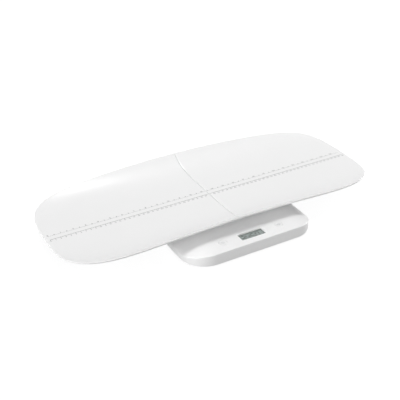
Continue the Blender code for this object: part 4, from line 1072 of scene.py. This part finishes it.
    def disc_profile(self, radius: float, low: float, high: float) -> Array:
        """A foot disc from its staked stud down to its flat underside."""
        disc_top = low + self.disc_height
        hub_top = disc_top + self.hub_height
        head = high - self.stake_height
        return rounded([(0.0, high), (self.stake_radius, head), (self.stud_radius, head),
                        (self.stud_radius, hub_top), (self.hub_radius, hub_top),
                        (self.hub_radius, disc_top), (radius, disc_top), (radius, low),
                        (0.0, low)], self.disc_round)

    def pad_profile(self, radius: float, low: float, high: float) -> Array:
        """A pad with round grooves in its underside."""
        corners = [(0.0, high), (radius, high), (radius, low)]
        for ring in (share * radius for share in self.groove_shares):
            corners += [(ring + self.groove, low), (ring, low + self.groove),
                        (ring - self.groove, low)]
        return rounded([*corners, (0.0, low)], self.pad_round, self.pad_steps)


# The ends of a digit's seven bars, in shares of its half size, and the bars that it drives.
BAR_SHARES: dict[str, tuple[Pair, Pair]] = {
    "a": ((-1, 1), (1, 1)), "b": ((1, 1), (1, 0)), "c": ((1, 0), (1, -1)),
    "d": ((-1, -1), (1, -1)), "e": ((-1, 0), (-1, -1)), "f": ((-1, 1), (-1, 0)),
    "g": ((-1, 0), (1, 0))}
DRIVEN: dict[str, str] = {
    "0": "abcdef", "1": "bc", "2": "abged", "3": "abgcd", "4": "fgbc", "5": "afgcd",
    "6": "afgedc", "7": "abc", "8": "abcdefg", "9": "abcdfg"}
# The ends of the strokes of the letters kg, in shares of their height.
UNIT_SHARES: tuple[tuple[Pair, Pair], ...] = (
    ((0, 0), (0, 1)), ((0, 0.35), (0.5, 0.7)), ((0.15, 0.45), (0.5, 0)),
    ((0.75, 0.65), (1.15, 0.65)), ((0.75, 0.15), (1.15, 0.15)), ((0.75, 0.15), (0.75, 0.65)),
    ((1.15, 0.65), (1.15, -0.2)), ((0.75, -0.2), (1.15, -0.2)))


@dataclass
class Display:
    """The reading on the liquid crystal panel, under the acrylic window."""

    reading: str = "3.450"
    digit: Pair = (7.2 * MM, 13.2 * MM)
    pitch: float = 10.4 * MM
    first_x: float = -17.6 * MM
    stroke: float = 1.9 * MM
    bar_gap: float = 0.25 * MM
    point_back: float = 5.6 * MM
    unit_back: float = 1.2 * MM
    unit_height: float = 4.6 * MM
    unit_stroke: float = 0.7 * MM
    slant: float = 0.10  # how far it leans to the right, as a share of the height
    thickness: float = 0.04 * MM

    def build(self) -> None:
        """Draw the reading, its point and its unit on the panel's upper face."""
        marks, pen = Marks(), self.first_x
        half = np.array(self.digit) / 2
        foot = np.array([0, -half[1]])
        for sign in self.reading:
            if sign == ".":
                ends = foot + np.array([(-0.5, 0), (0.5, 0)]) * self.stroke
                self.strokes(marks, pen - self.point_back, [ends], self.stroke)
            else:
                bars = [np.array(BAR_SHARES[bar]) * half for bar in DRIVEN[sign]]
                self.strokes(marks, pen, bars, self.stroke, self.bar_gap, self.stroke / 2)
                pen += self.pitch
        letters = np.array(UNIT_SHARES) * self.unit_height + foot
        self.strokes(marks, pen - self.unit_back, letters, self.unit_stroke)
        ink = self.thickness / 2
        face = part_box("display_panel")[1].z
        made = marks.laid("display_reading", lambda x, y: face + ink + 0 * x, ink)
        dress(made, "base", "display_glass", ink="segment")

    def strokes(self, marks: Marks, x: float, lines: Iterable[Array], width: float,
                gap: float = 0.0, tip: float = 0.0) -> None:
        """Add straight strokes, slanted and set on the panel.

        Args:
            marks: the reading so far.
            x: their place along the panel.
            lines: the start and end of each.
            width: how wide they are.
            gap: how far each keeps from its start and end.
            tip: how long its pointed ends are, or 0 for square ones.
        """
        slanted = np.array([(1, 0), (self.slant, 1)])
        place = np.array(middle("display_window")) + (x, 0)
        swell = np.array([not tip, 1, 1, not tip])[:, None]
        for start, end in lines:
            along = (end - start) / np.linalg.norm(end - start)
            across = swell * np.array([-along[1], along[0]]) * width / 2
            spine = np.array([start + gap * along, start + (gap + tip) * along,
                              end - (gap + tip) * along, end - gap * along])
            marks.band(*(row @ slanted + place for row in (spine - across, spine + across)))


@dataclass
class Keys:
    """The two dished keys beside the display, with a printed sign on each."""

    radius: float = KEY_RADIUS
    edge: float = 0.3 * MM
    dish: float = 0.35 * MM
    dish_share: float = 0.85
    dish_points: int = 8
    flange_top: float = 25.0 * MM
    flange_reach: float = 1.6 * MM
    flange_thickness: float = 1.2 * MM
    stem_radius: float = 2.5 * MM
    sign_radius: float = 2.3 * MM
    stroke: float = 0.8 * MM
    ink: float = 0.03 * MM
    ring_steps: int = 48
    ring_opening: float = math.radians(40)
    bar_share: float = 0.55  # of the ring's radius, for half a bar
    bar_round_share: float = 1 / 2.1
    bar_reach_share: float = 1.9

    def build(self) -> None:
        """Make both keys and their signs."""
        for side in Side:
            node = f"{side.word}_key"
            low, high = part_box(node)
            dress(lathe(f"{node}_cap", middle(node), self.profile(low.z, high.z)), node,
                  "key_white_abs", node)
            self.sign(side, node, high.z)

    def hollow(self, reach: Array) -> Array:
        """How deep the dish is at a reach from its middle: a cosine squared, flat at its rim."""
        turn = reach / (self.dish_share * self.radius) * math.pi / 2
        return self.dish * np.cos(turn) ** 2

    def profile(self, low: float, high: float) -> Array:
        """A key from the middle of its dish, over its rim and flange, to its stem."""
        reach = np.linspace(0, self.dish_share, self.dish_points) * self.radius
        wide, under = self.radius + self.flange_reach, self.flange_top - self.flange_thickness
        return np.array([*zip(reach, high - self.hollow(reach)),
                         (self.radius - self.edge, high), (self.radius, high - self.edge),
                         (self.radius, self.flange_top), (wide, self.flange_top),
                         (wide, under), (self.stem_radius, under), (self.stem_radius, low),
                         (0.0, low)])

    def sign(self, side: Side, node: str, top: float) -> None:
        """Print an open ring with a bar for power, or a ring between two bars for zero."""
        centre, marks = np.array(middle(node)), Marks()
        power = side is Side.LEFT
        opening = self.ring_opening if power else 0.0
        angle = np.linspace(math.pi / 2 + opening, 5 * math.pi / 2 - opening,
                            self.ring_steps + int(power), endpoint=power)
        circle = np.column_stack([np.cos(angle), np.sin(angle)])
        marks.band(*(centre + (self.sign_radius + way * self.stroke / 2) * circle
                     for way in (-1, 1)), closed=not power)
        reach = self.bar_reach_share * self.sign_radius
        bar = centre + rounded_loop((self.stroke / 2, self.sign_radius * self.bar_share),
                                    self.stroke * self.bar_round_share)
        for place in [(0.0, self.sign_radius)] if power else [(-reach, 0.0), (reach, 0.0)]:
            marks.plate(bar + place)
        made = marks.laid(f"{node}_sign", lambda x, y: top - self.hollow(
            np.hypot(x - centre[0], y - centre[1])), self.ink)
        dress(made, node, "key_white_abs", ink="key_ink")


@dataclass
class Carried:
    """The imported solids, of which those inside the base and under it stay."""

    frame: dict

    def build(self) -> None:
        """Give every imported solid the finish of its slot."""
        for entry in self.frame["record"]["subparts"]:
            coat(self.frame["nodes"][entry["node"]], entry["material_slot"])
            LOG.info("%s, packed, as %s", entry["node"], entry["material_slot"])


# ---- The studio


@dataclass(frozen=True)
class Softbox:
    """A rectangular lamp that faces the object: its place and size in metres, and its watts."""

    name: str
    place: tuple[float, float, float]
    size: Pair
    power: float

    def build(self) -> None:
        """Hang the lamp."""
        lamp = bpy.data.lights.new(self.name, "AREA")
        lamp.shape = "RECTANGLE"
        lamp.size, lamp.size_y = self.size
        lamp.energy = self.power
        made = bpy.data.objects.new(self.name, lamp)
        place = Vector(self.place)
        facing = (-place).to_track_quat("-Z", "Y")
        made.matrix_world = Matrix.Translation(place) @ facing.to_matrix().to_4x4()
        bpy.context.scene.collection.objects.link(made)


@dataclass
class Studio:
    """Camera, floor and lights of the photograph."""

    azimuth_deg: float = -29.488
    elevation_deg: float = 31.591
    distance: float = 1.53379
    lens_mm: float = 67.65
    sensor_mm: float = 36.0
    clip: Pair = (0.05, 50.0)
    target: tuple[float, float, float] = (0.0, RULER_Y, TRAY_Z)
    shift_right: float = 18.69 * MM
    shift_up: float = 12.96 * MM
    world_fill: float = 0.13
    lamps: tuple[Softbox, ...] = (
        Softbox("overhead_softbox", (0.1, 1.3, 4.0), (1.5, 1.5), 83.0),
        Softbox("left_softbox", (-5.9, -2.2, 1.80), (2.9, 2.9), 152.3),
        Softbox("left_rear_softbox", (-5.9, 0.7, 1.44), (2.9, 2.2), 132.8),
        Softbox("left_front_softbox", (-5.4, -3.2, 1.26), (2.9, 1.8), 58.3),
        Softbox("right_softbox", (3.3, 0.2, 0.8), (1.6, 1.2), 52.0),
        Softbox("right_front_softbox", (3.0, -1.8, 0.8), (1.6, 1.0), 16.0),
        Softbox("front_softbox", (0.3, -3.3, 1.8), (2.0, 1.2), 28.0))
    floor_reach: float = 6.0
    floor_roughness: float = 0.9
    floor_gloss: float = 0.1
    floor_lift: float = 0.93
    floor_seen: str = "#6b6b6b"
    floor_bounce: str = "#808080"

    def build(self) -> None:
        """Set the view, the camera, the world, the lamps and the floor."""
        bpy.context.scene.view_settings.view_transform = "Standard"
        self.camera()
        self.world()
        self.floor()
        for lamp in self.lamps:
            lamp.build()
        LOG.info("studio: camera, %d softboxes and a white floor", len(self.lamps))

    def camera(self) -> None:
        """Pair the camera: back along its line of sight, then aside to the photo's centre."""
        a, e = math.radians(self.azimuth_deg), math.radians(self.elevation_deg)
        right = Vector((math.cos(a), math.sin(a), 0.0))
        back = Vector((math.sin(a) * math.cos(e), -math.cos(a) * math.cos(e), math.sin(e)))
        up = back.cross(right)
        place = (Vector(self.target) + self.distance * back - self.shift_right * right
                 - self.shift_up * up)
        lens = bpy.data.cameras.new("photo_camera")
        lens.lens, lens.sensor_width = self.lens_mm, self.sensor_mm
        lens.clip_start, lens.clip_end = self.clip
        camera = bpy.data.objects.new("photo_camera", lens)
        camera.matrix_world = Matrix.Translation(place) @ Matrix(
            (right, up, back)).transposed().to_4x4()
        bpy.context.scene.collection.objects.link(camera)
        bpy.context.scene.camera = camera

    def world(self) -> None:
        """A white surround: full white to the camera, gloss and glass, softer as light."""
        world = bpy.data.worlds.new("white_studio")
        bpy.context.scene.world = world
        world.use_nodes = True
        tree = world.node_tree
        background = tree.nodes["Background"]
        background.inputs["Color"].default_value = linear("#ffffff")
        strength = add_node(tree, "ShaderNodeMapRange", Value=self.seen(tree),
                            i3=self.world_fill, i4=1.0)
        tree.links.new(strength.outputs[0], background.inputs["Strength"])

    def seen(self, tree: NodeTree) -> Socket:
        """One for a ray from the camera or one that gloss or glass sends on, else nought."""
        path = add_node(tree, "ShaderNodeLightPath").outputs
        first = add_node(tree, "ShaderNodeMath", {"operation": "MAXIMUM"},
                         i0=path["Is Camera Ray"], i1=path["Is Glossy Ray"])
        both = add_node(tree, "ShaderNodeMath", {"operation": "MAXIMUM"},
                        i0=first.outputs[0], i1=path["Is Transmission Ray"])
        return both.outputs[0]

    def floor(self) -> None:
        """A wide floor that keeps a soft shadow, lifted to the surround's white."""
        outline = np.array([(-1, -1), (1, -1), (1, 1), (-1, 1)]) * self.floor_reach
        made = solid("studio_floor", level(outline, 0.0), [[0, 1, 2, 3]])
        paper = bpy.data.materials.new("white_floor_paper")
        paper.use_nodes = True
        tree = paper.node_tree
        shader = tree.nodes["Principled BSDF"]
        seen = self.seen(tree)
        tone = add_node(tree, "ShaderNodeMix", {"data_type": "RGBA"}, i0=seen,
                        i6=linear(self.floor_bounce), i7=linear(self.floor_seen))
        lift = add_node(tree, "ShaderNodeMath", {"operation": "MULTIPLY"}, i0=seen,
                        i1=self.floor_lift)
        tree.links.new(tone.outputs[2], shader.inputs["Base Color"])
        tree.links.new(lift.outputs[0], shader.inputs["Emission Strength"])
        shader.inputs["Roughness"].default_value = self.floor_roughness
        shader.inputs["Specular IOR Level"].default_value = self.floor_gloss
        shader.inputs["Emission Color"].default_value = linear("#ffffff")
        made.data.materials.append(paper)


def main() -> None:
    """Load the frame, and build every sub-assembly in order."""
    logging.basicConfig(level=logging.INFO, format="%(name)s: %(message)s")
    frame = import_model()
    for assembly in (Studio(), Carried(frame), Tray(), Housing(), Display(), Keys()):
        assembly.build()


if __name__ == "__main__":
    main()
